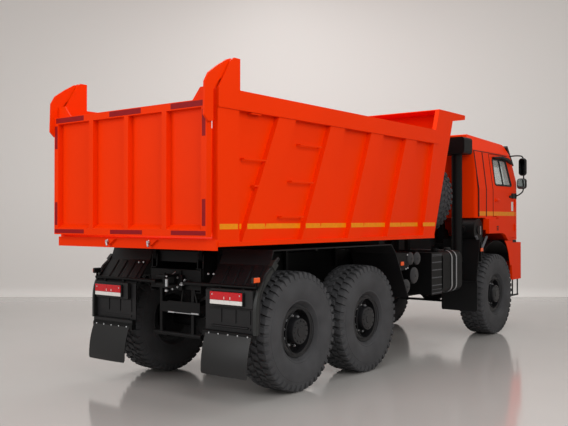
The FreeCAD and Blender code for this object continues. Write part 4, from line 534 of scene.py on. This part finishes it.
def hanging(x, y, z, thick, bow):
    """A rubber sheet hung from its top edge. Its face stands back from y by
    bow * (1 - (1 - t)^2.4), where t goes down it from 0 to 1, so that it bends near the top and then hangs straight,
    and its bottom edge sags back by a sixth of that in the middle."""
    across = np.linspace(0, 1, 15)
    rings = []
    for down in np.linspace(1, 0, 19):
        back = y + bow * (1 - (1 - down) ** 2.4) + bow / 6 * np.sin(math.pi * across) * down
        trim = 0.014 * max(0.0, (down - 0.93) / 0.07) ** 2
        line = x[0] + trim + across * (x[1] - x[0] - 2 * trim)
        front = np.column_stack([line, back])
        rear = np.column_stack([line[::-1], back[::-1] + thick])
        level = z[1] + (z[0] - z[1]) * down
        rings.append(np.column_stack([np.vstack([front, rear]), np.full(2 * len(across), level)]))
    return capped(np.stack(rings))


def button(x, y, z, axis, sign, radius, height):
    """A domed head on a flat face."""
    profile = [(0, radius), (sign * height * 0.5, radius * 0.92), (sign * height, radius * 0.5)]
    return turned(profile, axis, (x, y, z), 12)


def band(sign, line, width, near, far):
    """A strip that stands on edge: a line of (y, z) widened to both sides, between two places across the truck."""
    line = np.asarray(line, float)
    along = np.gradient(line, axis=0)
    along /= np.linalg.norm(along, axis=1, keepdims=True)
    across = np.column_stack([-along[:, 1], along[:, 0]]) * width / 2
    outline = np.vstack([line + across, (line - across)[::-1]])
    return slab("x", outline, *span(sign, near, far), 0.004)


# each rear lamp is (places across the truck, foot, head), each plate behind one (places across the truck), and
# each rear flap (foot, head)
LAMPS = {"left": ((0.735, 1.193), 1.018, 1.148), "right": ((-1.145, -0.7), 1.036, 1.166)}
BACKS = {"left": (0.645, 1.215), "right": (-1.262, -0.68)}
FLAPS = {"left": (0.262, 0.69), "right": (0.3, 0.742)}
# how far along the truck the lenses reach, where a lamp is split across, and the clear lower row's share of it
LENS_DEPTH = (TAIL_FACE + 0.07, TAIL_FACE + 0.086)
LAMP_SPLITS = np.array([0, 0.36, 0.55, 1])
CLEAR_SHARE = 0.34
# the headlamps: places across the truck, along it and up
HEADLAMPS, HEADLAMP_FACE, HEADLAMP_Z = (0.85, 0.97), -4.1, 1.28
# how far across the truck the flaps and their clamps reach, and the joint that a clamp covers
FLAP_WIDTH, CLAMP_WIDTH, CLAMP_JOINT = (0.61, 1.25), (0.565, 1.265), 0.75
FLAP_THICK = 0.008
MID_FLAP = -2.118

lens, clear, amber, housings, chrome = [], [], [], [], []
flaps, clamps, rivets, edges, beads = [], [], [], [], []
for side, sign in SIDES:
    (low, high), foot, head = LAMPS[side]
    middle = foot + CLEAR_SHARE * (head - foot)
    housings.append(block(BACKS[side], (TAIL_FACE + 0.006, TAIL_FACE + 0.05), (foot - 0.03, head + 0.03), 0.006))
    housings.append(block((low - 0.008, high + 0.008), (TAIL_FACE + 0.04, TAIL_FACE + 0.078),
                          (foot - 0.008, head + 0.008), 0.006))
    splits = low + (high - low) * LAMP_SPLITS
    for start, stop in zip(splits, splits[1:]):
        across = (start + 0.001, stop - 0.001)
        lens.append(block(across, LENS_DEPTH, (middle + 0.001, head), 0.003))
        clear.append(block(across, LENS_DEPTH, (foot, middle - 0.001), 0.003))
    for place in splits[1:3]:
        clear.append(block((place - 0.004, place + 0.004), (TAIL_FACE + 0.07, TAIL_FACE + 0.087),
                           (middle + 0.01, middle + 0.038), 0.001))
    for place in (low + 0.03, high - 0.03):
        rivets.append(button(place, TAIL_FACE + 0.085, head - 0.03, "y", 1, 0.009, 0.002))
    # side marker on the guard
    amber.append(block(span(sign, 1.272, 1.286), (3.412, 3.5), (1.276, 1.327), 0.004))
    housings.append(block(span(sign, 1.25, 1.276), (3.408, 3.504), (1.27, 1.333), 0.004))
    for x in HEADLAMPS:
        centre = (sign * x, HEADLAMP_FACE, HEADLAMP_Z)
        chrome.append(turned([(0, 0.058), (-0.064, 0.058), (-0.064, 0.05)], "y", centre, 32))
        clear.append(turned([(-0.05, 0.05), (-0.062, 0.049), (-0.068, 0.03)], "y", centre, 32))
    housings.append(block(span(sign, 0.78, 1.04), (-4.14, HEADLAMP_FACE), (1.19, 1.37), 0.006))
    foot, head = FLAPS[side]
    flaps.append(hanging(span(sign, *FLAP_WIDTH), FLAP_FACE, (foot, head - 0.022), FLAP_THICK, 0.075))
    clamp_x = span(sign, *CLAMP_WIDTH)
    clamps.append(block(clamp_x, (FLAP_FACE - 0.055, FLAP_FACE + 0.009), (head - 0.055, head + 0.006), 0.004))
    if head < CLAMP_JOINT - 0.01:
        clamps.append(block(clamp_x, (FLAP_FACE - 0.052, FLAP_FACE - 0.002), (head, CLAMP_JOINT), 0.004))
    for x in np.linspace(0.66, 1.2, 5):
        rivets.append(button(sign * x, FLAP_FACE + 0.0085, head - 0.022, "y", 1, 0.010, 0.006))
    flaps.append(hanging(span(sign, 0.6, 1.22), MID_FLAP, (0.45, 0.93), FLAP_THICK, 0.006))
    # the guard's outer edge, folded out like a strap and ending in a clamp, and a pressed ridge above the flap
    edge_line = bent([(3.2, 1.44), (3.31, 1.32), (3.43, 1.19), (3.468, 1.05), (3.47, 0.9), (3.47, 0.742)], 0.12)
    edges.append(band(sign, edge_line, 0.062, 1.262, 1.312 if sign < 0 else 1.296))
    edges.append(band(sign, [(3.175, 1.468), (3.232, 1.408)], 0.082, 1.264, 1.322))
    ridge = arc((0, 0), 0.011, -90, 90, 7) * (1.2, 1) + (TAIL_FACE + 0.006, head + 0.055)
    foot_point, head_point = (TAIL_FACE - 0.004, head + 0.04), (TAIL_FACE - 0.004, head + 0.07)
    beads.append(slab("x", np.vstack([[foot_point], ridge, [head_point]]), *span(sign, 0.66, 1.17), 0.005))
piece("lamp_housings", housings, SEAL, "chassis", replaces=["lamps"])
piece("red_lenses", lens, RED_LENS, "chassis")
piece("clear_lenses", clear, WHITE_LENS, "chassis")
piece("headlamp_rings", chrome, CHROME, "chassis")
piece("hung_flaps", flaps, FLAP, "chassis", replaces=["mud_flaps"])
piece("flap_clamps", clamps, ENAMEL, "chassis")
piece("rivets", rivets, ZINC, "chassis")
piece("guard_edges", edges, GUARD_EDGE, "chassis")
piece("guard_ridges", beads, GUARD, "chassis")

# reflective strips on the tailgate: three on each rail, (heights, places across), and two on each end post
GATE_RAILS = (((3.022, 3.078), ((0.668, 1.168), (-0.268, 0.23), (-1.185, -0.71))),
              ((1.768, 1.812), ((0.662, 1.19), (-0.29, 0.215), (-1.19, -0.715))))
strips = [gate_tape(x, z) for z, places in GATE_RAILS for x in places]
strips += [gate_tape(span(sign, 1.142, 1.188), z) for _, sign in SIDES for z in ((2.73, 2.99), (1.86, 2.12))]
piece("gate_reflectors", strips, RED_TAPE, "tailgate")

# hooks for the sheet's ropes under the gate
hooks, pins = [], []
for x in (0.325, -0.33):
    plate = [(x - 0.02, 1.652), (x + 0.012, 1.652), (x + 0.012, 1.715), (x - 0.115, 1.715)]
    hooks.append(slab("y", plate, BEAM_FACE, BEAM_FACE + 0.03))
    pins.append(turned([(0, 0.017), (0.05, 0.017), (0.058, 0.012)], "y", (x, BEAM_FACE, 1.69), 16))
    tip = (x - 0.012, BEAM_FACE + 0.052, 1.642)
    pins.append(path([(x, BEAM_FACE + 0.045, 1.7), (x, BEAM_FACE + 0.05, 1.67), tip], 0.013, 10))
piece("rope_hooks", hooks, ORANGE, "bed")
piece("rope_pins", pins, ZINC, "bed")

# hitch: handle with its knob, bolt heads and catch lever, and the bright edge of the blank plate
HANDLE = (-0.102, 3.59)
HITCH_FACE, CROSS_FACE = 3.4, 3.36
HITCH_BOLTS = ((-0.083, 1.271), (-0.083, 1.167), (-0.007, 1.14), (0.0, 1.28))
CROSS_BOLTS = ((0.6, 1.42), (0.52, 1.425), (-0.52, 1.33), (-0.6, 1.332))
lever = bent([(-0.14, 3.42, 1.196), (-0.165, 3.425, 1.21), (-0.2, 3.425, 1.218), (-0.222, 3.42, 1.262)], 0.02)
fittings = [turned([(0, 0.012), (0.004, 0.017), (0.083, 0.017), (0.087, 0.012)], "z", (*HANDLE, 1.183), 14),
            turned([(-0.02, 0.006), (-0.012, 0.02), (0.006, 0.02), (0.014, 0.008)], "z", (-0.1, 3.59, 1.144), 14),
            turned([(0, 0.007), (0.012, 0.011), (0.02, 0.011)], "z", (*HANDLE, 1.285), 12),
            path(lever, 0.013, 10),
            turned([(0, 0.022), (0.03, 0.02), (0.034, 0.012)], "y", (-0.168, HITCH_FACE, 1.206), 14),
            path([(0.045, 3.42, 1.278), (-0.068, 3.42, 1.335)], 0.005, 8),
            block((0.02, 0.118), (3.35, 3.358), (0.864, 0.88), 0.001),
            block((-0.36, -0.248), (3.35, 3.358), (0.868, 0.884), 0.001),
            block((-0.25, 0.022), (3.35, 3.356), (0.8675, 0.8755), 0.001)]
for x, z in HITCH_BOLTS:
    fittings.append(turned([(0, 0.013), (0.012, 0.013), (0.014, 0.01)], "y", (x, HITCH_FACE, z), 6))
for x, z in CROSS_BOLTS:
    fittings.append(turned([(0, 0.012), (0.012, 0.012), (0.014, 0.009)], "y", (x, CROSS_FACE, z), 6))
piece("hitch_fittings", fittings, ZINC, "chassis")
latch = [path([(*HANDLE, 1.14), (*HANDLE, 1.31)], 0.009, 8),
         block((-0.125, -0.08), (3.56, 3.6), (1.15, 1.17), 0.002),
         block((-0.34, 0.34), (3.285, 3.295), (1.44, 1.565), 0.002),
         block((-0.15, 0.13), (CROSS_FACE, HITCH_FACE), (1.13, 1.3), 0.006),
         block((-0.375, 0.135), (3.338, 3.35), (0.86, 1.0), 0.003),
         path([(-0.09, 3.345, 0.995), (-0.12, 3.35, 1.15)], 0.012, 8),
         path([(-0.33, 3.345, 0.995), (-0.27, 3.35, 1.2)], 0.012, 8)]
piece("hitch_latch", latch, ENAMEL, "chassis")

# ---------------------------------------------------------------- bed

# the side's sheet and the ribs' faces, each rib's rear edge at its (foot, head), and the stripe's heights
SKIN = 1.175
RIB_FACE = 1.238
RIBS = ((3.637, 3.03), (2.631, 2.046), (1.695, 1.143), (0.759, 0.24))
RIB_WIDTH, RIB_FOOT_Z, RIB_RISE = 0.305, 1.701, 1.317
STRIPE = (1.826, 1.88)


def rib_edge(foot, head, z):
    """How far back a rib's rear edge is at a height; it leans in a straight line from its foot to its head."""
    return foot + (head - foot) * (z - RIB_FOOT_Z) / RIB_RISE


# tape on the sheet between the ribs, and on the ribs, the rear post and the front post
stripes = []
rear_edges = [rib_edge(foot, head, sum(STRIPE) / 2) for foot, head in RIBS]
fields = [(rear_edges[0], 3.678)]
fields += [(after, before - RIB_WIDTH) for before, after in zip(rear_edges, rear_edges[1:])]
fields.append((-0.2, rear_edges[-1] - RIB_WIDTH))
faces = [(edge - RIB_WIDTH + 0.012, edge - 0.012) for edge in rear_edges] + [(3.7, 3.97), (-0.6, -0.232)]
for side, sign in SIDES:
    stripes += [side_tape(sign, SKIN, (start + 0.01, end - 0.01), STRIPE) for start, end in fields]
    stripes += [side_tape(sign, RIB_FACE, face, STRIPE) for face in faces]
piece("side_reflectors", stripes, YELLOW_TAPE, "bed")

# ---------------------------------------------------------------- cab

# the cab's side and front, the height where the side starts to lean, and how far it leans over how much
CAB, FRONT = 1.15, -4.12
LEAN_FOOT, LEAN_BY, LEAN_OVER = 2.42, 0.088, 0.65
ARCH = (AXLES["front"], 0.72)
CAB_STRIPE = (1.985, 2.055)


def cab_side(y, z, proud=0.0):
    """A point on the left side of the cab, which is upright at its foot and leans in above."""
    return CAB - max(0.0, z - LEAN_FOOT) * LEAN_BY / LEAN_OVER + proud, y, z


def on_side(sign, points, proud=0.0):
    """Points (y, z) carried on to one side of the cab, proud of it or sunk."""
    return [(sign * x, y, z) for x, y, z in (cab_side(py, pz, proud) for py, pz in points)]


def rounded_outline(u, v, radius, steps, grow=0.0):
    """A rectangle between two places each way, with round corners, and grown all round by grow."""
    corners = ((u[1] - radius, v[1] - radius, 0), (u[0] + radius, v[1] - radius, 90),
               (u[0] + radius, v[0] + radius, 180), (u[1] - radius, v[0] + radius, 270))
    return np.vstack([arc((a, b), radius + grow, start, start + 90, steps) for a, b, start in corners])


def rounded(axis, x, y, z, radius, crown):
    """A pillow-shaped housing: the outline is a rounded rectangle across an axis, and its rings shrink by
    crown * (1 - cos a) towards both faces, for a from 0 to 80 degrees."""
    low, flat_sides = {"x": (x, (y, z)), "y": (y, (x, z)), "z": (z, (x, y))}[axis]
    outline = rounded_outline(*flat_sides, radius, 7)
    lean = np.radians([-80, -55, -30, 0, 30, 55, 80])
    middle, half = (low[0] + low[1]) / 2, (low[1] - low[0]) / 2
    rings = []
    for turn in lean:
        flat = inset(outline, crown * (1 - math.cos(turn)))
        level = np.full(len(flat), middle + half * math.sin(turn) / math.sin(math.radians(80)))
        place = {"x": (2, 0, 1), "y": (0, 2, 1), "z": (0, 1, 2)}[axis]
        rings.append(np.column_stack([flat, level])[:, place])
    rings = np.stack(rings)
    return capped(rings[::-1] if axis == "y" else rings)


def outwards(sign, points):
    """Points of the left side, carried over to the right side when the sign is negative."""
    return [(sign * x, y, z) for x, y, z in points]


# doors and cab sides: corners of the window, the lines of seams, and the tape's ends along the truck
WINDOW = [(-3.04, 2.51), (-3.04, 2.96), (-3.63, 2.96), (-3.772, 2.51)]
DOOR_HANDLE = [(CAB, -3.02, 2.25), (1.185, -3.03, 2.25), (1.185, -3.15, 2.25), (CAB, -3.16, 2.25)]
BRACKET = [(-3.05, 2.97), (-3.4, 2.985), (-3.62, 2.955), (-3.855, 2.9),
           (-3.855, 2.935), (-3.7, 3.0), (-3.4, 3.02), (-3.05, 2.988)]
CAB_TAPE = ((-2.61, -2.35), (-2.925, -2.65), (-3.925, -3.89))
# arch liner: the bent sheet's two radii and its ends in degrees, and how far across the truck it starts
LINER_RADII, LINER_ENDS, LINER_IN = (0.84, 0.846), (42, 146), 0.56
LINER_WALL = [(-2.335, 1.24), (-2.335, 1.557), (-3.9, 1.557), (-3.9, 1.24)]
ARCH_CORNER = [(-3.3, 1.557), (-3.66, 1.557), (-3.66, 1.3), (-3.6, 1.12), (-3.545, 1.12), (-3.47, 1.355),
               (-3.385, 1.49)]
# mirrors: how far along the truck the housings and their faces reach, and the two bent arms
MIRROR_DEPTH, MIRROR_FACE, MIRROR_RIM = (-4.0, -3.905), (-3.909, -3.901), 0.014
UPPER_ARM = [(1.05, -3.86, 3.05), (1.2, -3.9, 3.06), (1.28, -3.955, 3.05), (1.29, -3.96, 2.85)]
LOWER_ARM = [(1.14, -3.905, 2.33), (1.22, -3.92, 2.36), (1.28, -3.955, 2.42), (1.29, -3.96, 2.75)]

mirrors, glasses, shaded = [], [], []
for side, sign in SIDES:
    door = f"door_{side}"
    window = on_side(sign, WINDOW, -0.006)
    middle = tuple((a + b) / 2 for a, b in zip(window[3], window[0]))
    seals = [path(bent([middle, *window, middle], 0.05)[:-1], 0.017, 10, closed=True),
             path(on_side(sign, [(-3.415, 2.51), (-3.345, 2.96)], -0.01), 0.013, 10)]
    piece(f"window_seal_{side}", seals, SEAL, door, 60)
    handle = [rounded("x", span(sign, 1.149, 1.158), (-3.18, -3.0), (2.215, 2.285), 0.02, 0.004),
              path(bent(outwards(sign, DOOR_HANDLE), 0.02), 0.009, 10)]
    piece(f"door_handle_{side}", handle, ORANGE, door)
    piece(f"door_stripe_{side}", [side_tape(sign, CAB, (-3.86, -2.94), CAB_STRIPE)], YELLOW_TAPE, door)
    piece(f"door_label_{side}", [side_tape(sign, CAB, (-3.815, -3.725), (2.07, 2.235))], LABEL, door)
    seam = [path(on_side(sign, [(-2.635, 1.97), (-2.64, 2.42), (-2.652, 3.04)]), 0.011, 8),
            path(on_side(sign, [(-2.919, 1.97), (-2.919, 2.42), (-2.919, 3.03)], -0.001), 0.007, 8),
            path(on_side(sign, [(-2.335, 1.97), (-2.33, 2.42), (-2.325, 3.05)], 0.002), 0.011, 8),
            path(on_side(sign, [(-2.33, 3.052), (-2.93, 3.052), (-3.74, 3.045)], -0.002), 0.007, 8)]
    piece(f"cab_seam_{side}", seam, SEAL, "cab", 60)
    cab_tape = [side_tape(sign, CAB, ends, CAB_STRIPE) for ends in CAB_TAPE]
    piece(f"cab_stripe_{side}", cab_tape, YELLOW_TAPE, "cab")
    trim = [block(span(sign, 1.208, 1.217), (-3.0, -2.93), (z, z + 0.016), 0.003) for z in (1.74, 1.768, 1.796)]
    piece(f"flare_slots_{side}", trim, SEAL, "cab")
    bracket = [rounded("x", span(sign, 1.149, 1.17), (-3.79, -3.62), (2.302, 2.345), 0.018, 0.005),
               rounded("x", span(sign, 1.149, 1.185), (-3.82, -3.72), (2.29, 2.385), 0.025, 0.008),
               slab("x", BRACKET, *span(sign, 1.06, 1.125), 0.003)]
    piece(f"door_bracket_{side}", bracket, SEAL, door, 40)
    # arch liner: a bent sheet over the wheel, its inner wall and its two ends
    start, stop = LINER_ENDS
    sheet = np.vstack([arc(ARCH, LINER_RADII[0], start, stop, 24), arc(ARCH, LINER_RADII[1], stop, start, 24)])
    liner = [slab("x", sheet, *span(sign, LINER_IN, 1.185), 0.001),
             slab("x", LINER_WALL, *span(sign, LINER_IN, 0.566), 0.001),
             block(span(sign, LINER_IN, 1.17), (-3.9, -3.57), (1.2, 1.5585), 0.002),
             block(span(sign, LINER_IN, 1.19), (-2.36, -2.33), (1.24, 1.56), 0.004)]
    piece(f"arch_liner_{side}", liner, PLASTIC, "chassis", 40)
    corner = [slab("x", ARCH_CORNER, *span(sign, 1.19, 1.2005), 0.002)]
    piece(f"arch_corner_{side}", corner, ORANGE, "chassis", 40)
    # mirrors: two rounded housings on bent arms, with silvered faces behind
    upper_x, lower_x = span(sign, 1.205, 1.342), span(sign, 1.172, 1.342)
    mirrors += [rounded("y", upper_x, MIRROR_DEPTH, (2.7, 3.015), 0.055, 0.025),
                rounded("y", lower_x, MIRROR_DEPTH, (2.465, 2.655), 0.05, 0.025),
                path(bent(outwards(sign, UPPER_ARM), 0.06), 0.012, 10),
                path(bent(outwards(sign, LOWER_ARM), 0.04), 0.012, 10),
                rounded("x", span(sign, 1.128, 1.175), (-3.925, -3.888), (2.29, 2.39), 0.012, 0.006)]
    upper_face, lower_face = ((x[0] + MIRROR_RIM, x[1] - MIRROR_RIM) for x in (upper_x, lower_x))
    shaded.append(rounded("y", upper_face, MIRROR_FACE, (2.716, 3.0), 0.045, 0.002))
    glasses.append(rounded("y", lower_face, MIRROR_FACE, (2.48, 2.64), 0.04, 0.002))

# front panel: louvred grille, lines of the opening flap, wipers and grab rails
grille = [rounded("y", (-0.78, 0.78), (-4.13, -4.112), (1.7, 2.08), 0.05, 0.004)]
piece("grille_mesh", grille, PLASTIC, "cab", 40)
slats = [rounded("y", (-0.745, 0.745), (-4.14, -4.126), (z, z + 0.046), 0.02, 0.004)
         for z in (1.735, 1.825, 1.915, 2.005)]
slats += [rounded("y", (x - 0.02, x + 0.02), (-4.137, -4.126), (1.715, 2.065), 0.012, 0.003) for x in (-0.38, 0.38)]
piece("grille_slats", slats, ORANGE, "cab", 40)
FLAP_HALF, FLAP_FOOT_Z, FLAP_TOP_Z = 0.93, 1.6, 2.22
flap_lines = [path([(-FLAP_HALF, FRONT, FLAP_TOP_Z), (FLAP_HALF, FRONT, FLAP_TOP_Z)], 0.006, 8)]
flap_lines += [path([(sign * FLAP_HALF, FRONT, FLAP_FOOT_Z), (sign * FLAP_HALF, FRONT, FLAP_TOP_Z)], 0.006, 8)
               for sign in (-1, 1)]
piece("front_flap_lines", flap_lines, SEAL, "cab", 40)
wipers = []
for x in (-0.7, 0.08):
    arm = bent([(x, -4.128, 2.285), (x + 0.06, -4.125, 2.33), (x + 0.34, -4.095, 2.412)], 0.04)
    wipers.append(turned([(-0.02, 0.02), (0.0, 0.024), (0.014, 0.018)], "y", (x, -4.118, 2.285), 20))
    wipers.append(path(arm, 0.008, 8))
    wipers.append(block((x - 0.01, x + 0.66), (-4.088, -4.072), (2.398, 2.416), 0.003))
RAIL_Z, RAIL_FOOT, RAIL_OUT = 2.17, -4.11, -4.15
grab_rail = [(0.45, RAIL_FOOT, RAIL_Z), (0.45, RAIL_OUT, RAIL_Z), (0.8, RAIL_OUT, RAIL_Z), (0.8, RAIL_FOOT, RAIL_Z)]
rails = [path(bent(outwards(sign, grab_rail), 0.03), 0.01, 8) for sign in (-1, 1)]
piece("wipers", wipers, SEAL, "cab", 40)
piece("front_rails", rails, SEAL, "cab", 40)
piece("mirror_housings", mirrors, SEAL, "cab", 40, replaces=["mirrors"])
piece("mirror_faces", glasses, MIRROR, "cab", 40)
piece("mirror_faces_tall", shaded, DARK_MIRROR, "cab", 40)


def pillow(x, y, z, lean=0.0):
    """A stuffed pad. A point of a unit ball is pushed out to |u|^0.36 on each axis, which makes a crowned box, and is
    scaled to the pad's size; y then leans back by a share of the height above the pad's foot."""
    up = np.radians(np.linspace(-88, 88, 27))[:, None]
    turn = np.linspace(0, 2 * math.pi, 48, endpoint=False)[None, :]
    ball = np.stack([np.cos(up) * np.cos(turn), np.cos(up) * np.sin(turn), np.sin(up) + 0 * turn], axis=-1)
    box = np.sign(ball) * np.abs(ball) ** 0.36
    box /= np.maximum(1.0, np.abs(box).max(axis=(0, 1)))
    low, high = np.array([x[0], y[0], z[0]]), np.array([x[1], y[1], z[1]])
    points = (low + high) / 2 + box * (high - low) / 2
    points[..., 1] += lean * (points[..., 2] - z[0])
    return capped(points)


# seats: cushion, back and head rest on each pedestal
SEATS = (("left", 0.58), ("middle", -0.08), ("right", -0.65))
for name, x in SEATS:
    pads = {"cushion": pillow((x - 0.24, x + 0.24), (-3.08, -2.6), (2.19, 2.335)),
            "back": pillow((x - 0.23, x + 0.23), (-2.625, -2.53), (2.3, 2.76), 0.16),
            "rest": pillow((x - 0.14, x + 0.14), (-2.55, -2.47), (2.77, 2.945), 0.12)}
    for pad, solid in pads.items():
        first = pad == "cushion" and name == "left"
        cushion = piece(f"seat_{pad}_{name}", [solid], FABRIC, "cab", 80,
                        replaces=["seats"] if first else ())
pedestals = [block((x - 0.17, x + 0.17), (-2.98, -2.64), (2.0, 2.2), 0.012) for _, x in SEATS]
piece("seat_pedestals", pedestals, PLASTIC, "cab")

# ---------------------------------------------------------------- right side of the frame

# the fuel tank's section: places across the truck and up, and its corners' radius
TANK_X, TANK_Z, TANK_RADIUS = (-1.2, -0.44), (0.83, 1.45), 0.11
STRAP_PLACES, STRAP_WIDTH, STRAP_THICK, STRAP_GAP = (-1.374, -1.222), 0.034, 0.0045, 0.004


def strap(y, width, thick):
    """A strap round the tank: its rounded section, and the same section a little larger, as one hollow ring."""
    near, far = y - width / 2, y + width / 2
    rows = []
    for grow, place in ((STRAP_GAP, near), (STRAP_GAP + thick, near), (STRAP_GAP + thick, far), (STRAP_GAP, far)):
        flat = rounded_outline(TANK_X, TANK_Z, TANK_RADIUS, 10, grow)
        rows.append(np.column_stack([flat[:, 0], np.full(len(flat), place), flat[:, 1]]))
    return grid(np.stack(rows[::-1]), wrap_rows=True, wrap_columns=True)


# dished ends of the air vessels, (along the truck, height, radius), and bolts of the plate beside them
VESSELS = ((0.07, 1.385, 0.091), (-0.12, 1.38, 0.091), (-0.04, 1.15, 0.113), (0.19, 1.012, 0.098))
VESSEL_END, PLATE_FACE = -1.199, -1.2055
PLATE_BOLTS = ((0.5, 1.45), (0.16, 1.44), (0.36, 1.25), (0.15, 1.26), (0.2, 1.25))
dishes = []
for y, z, radius in VESSELS:
    profile = [(0, radius), (-0.01, radius * 0.96), (-0.02, radius * 0.82), (-0.027, radius * 0.55), (-0.029, 0.022),
               (-0.036, 0.02)]
    dishes.append(turned(profile, "x", (VESSEL_END, y, z), 40))
piece("vessel_ends", dishes, VESSEL, "chassis", 40)
bolts = [button(PLATE_FACE, y, z, "x", -1, 0.014, 0.008) for y, z in PLATE_BOLTS]
piece("plate_bolts", bolts, ZINC, "chassis")
webs = [block(span(sign, 0.42, 0.97), (3.0, 3.006), (1.25, 1.54), 0.001) for sign in (-1, 1)]
piece("guard_webs", webs, ENAMEL, "chassis", 40)
straps = [strap(y, STRAP_WIDTH, STRAP_THICK) for y in STRAP_PLACES]
piece("tank_straps", straps, ALUMINIUM, "chassis")
cap = turned([(0, 0.05), (0.03, 0.05), (0.042, 0.042)], "z", (-1.06, -1.36, 1.452), 24)
piece("tank_cap", [cap], CAST, "chassis")
# ribs on the battery box's cover, pale grey as a painted highlight along their edges
COVER_DEPTH, COVER_ENDS = (-1.2065, -1.2), (-0.885, -0.575)
ribs = [block(COVER_DEPTH, COVER_ENDS, (z, z + 0.014), 0.002) for z in np.arange(0.85, 1.42, 0.111)]
ribs += [block(COVER_DEPTH, COVER_ENDS, (z, z + 0.006), 0.001) for z in (0.905, 1.39, 1.41)]
piece("battery_ribs", ribs, RIB_PLASTIC, "chassis")
# a bright aluminium strip with three rivet heads down the air cleaner's side: a painted highlight where the round
# cleaner catches the light
highlight_strip = [block((-1.148, -1.136), (-2.43, -2.405), (1.675, 1.815), 0.004)]
highlight_strip += [button(-1.148, -2.4175, z, "x", -1, 0.006, 0.003) for z in (1.69, 1.745, 1.8)]
piece("cleaner_highlight_strip", highlight_strip, ALUMINIUM, "chassis")
struts = [path([(-1.15, -2.225, 1.65), (-1.15, -2.425, 1.44)], 0.021, 10),
          path([(-1.15, -2.65, 1.64), (-1.15, -2.45, 1.44)], 0.021, 10)]
piece("cleaner_struts", struts, RIB_PLASTIC, "chassis")
markers = [block((-1.215, -1.205), (-2.36, -2.272), (1.405, 1.46), 0.004),
           block((-1.2155, -1.206), (0.27, 0.348), (1.3, 1.352), 0.004)]
piece("arch_markers", markers + amber, AMBER_LENS, "chassis")
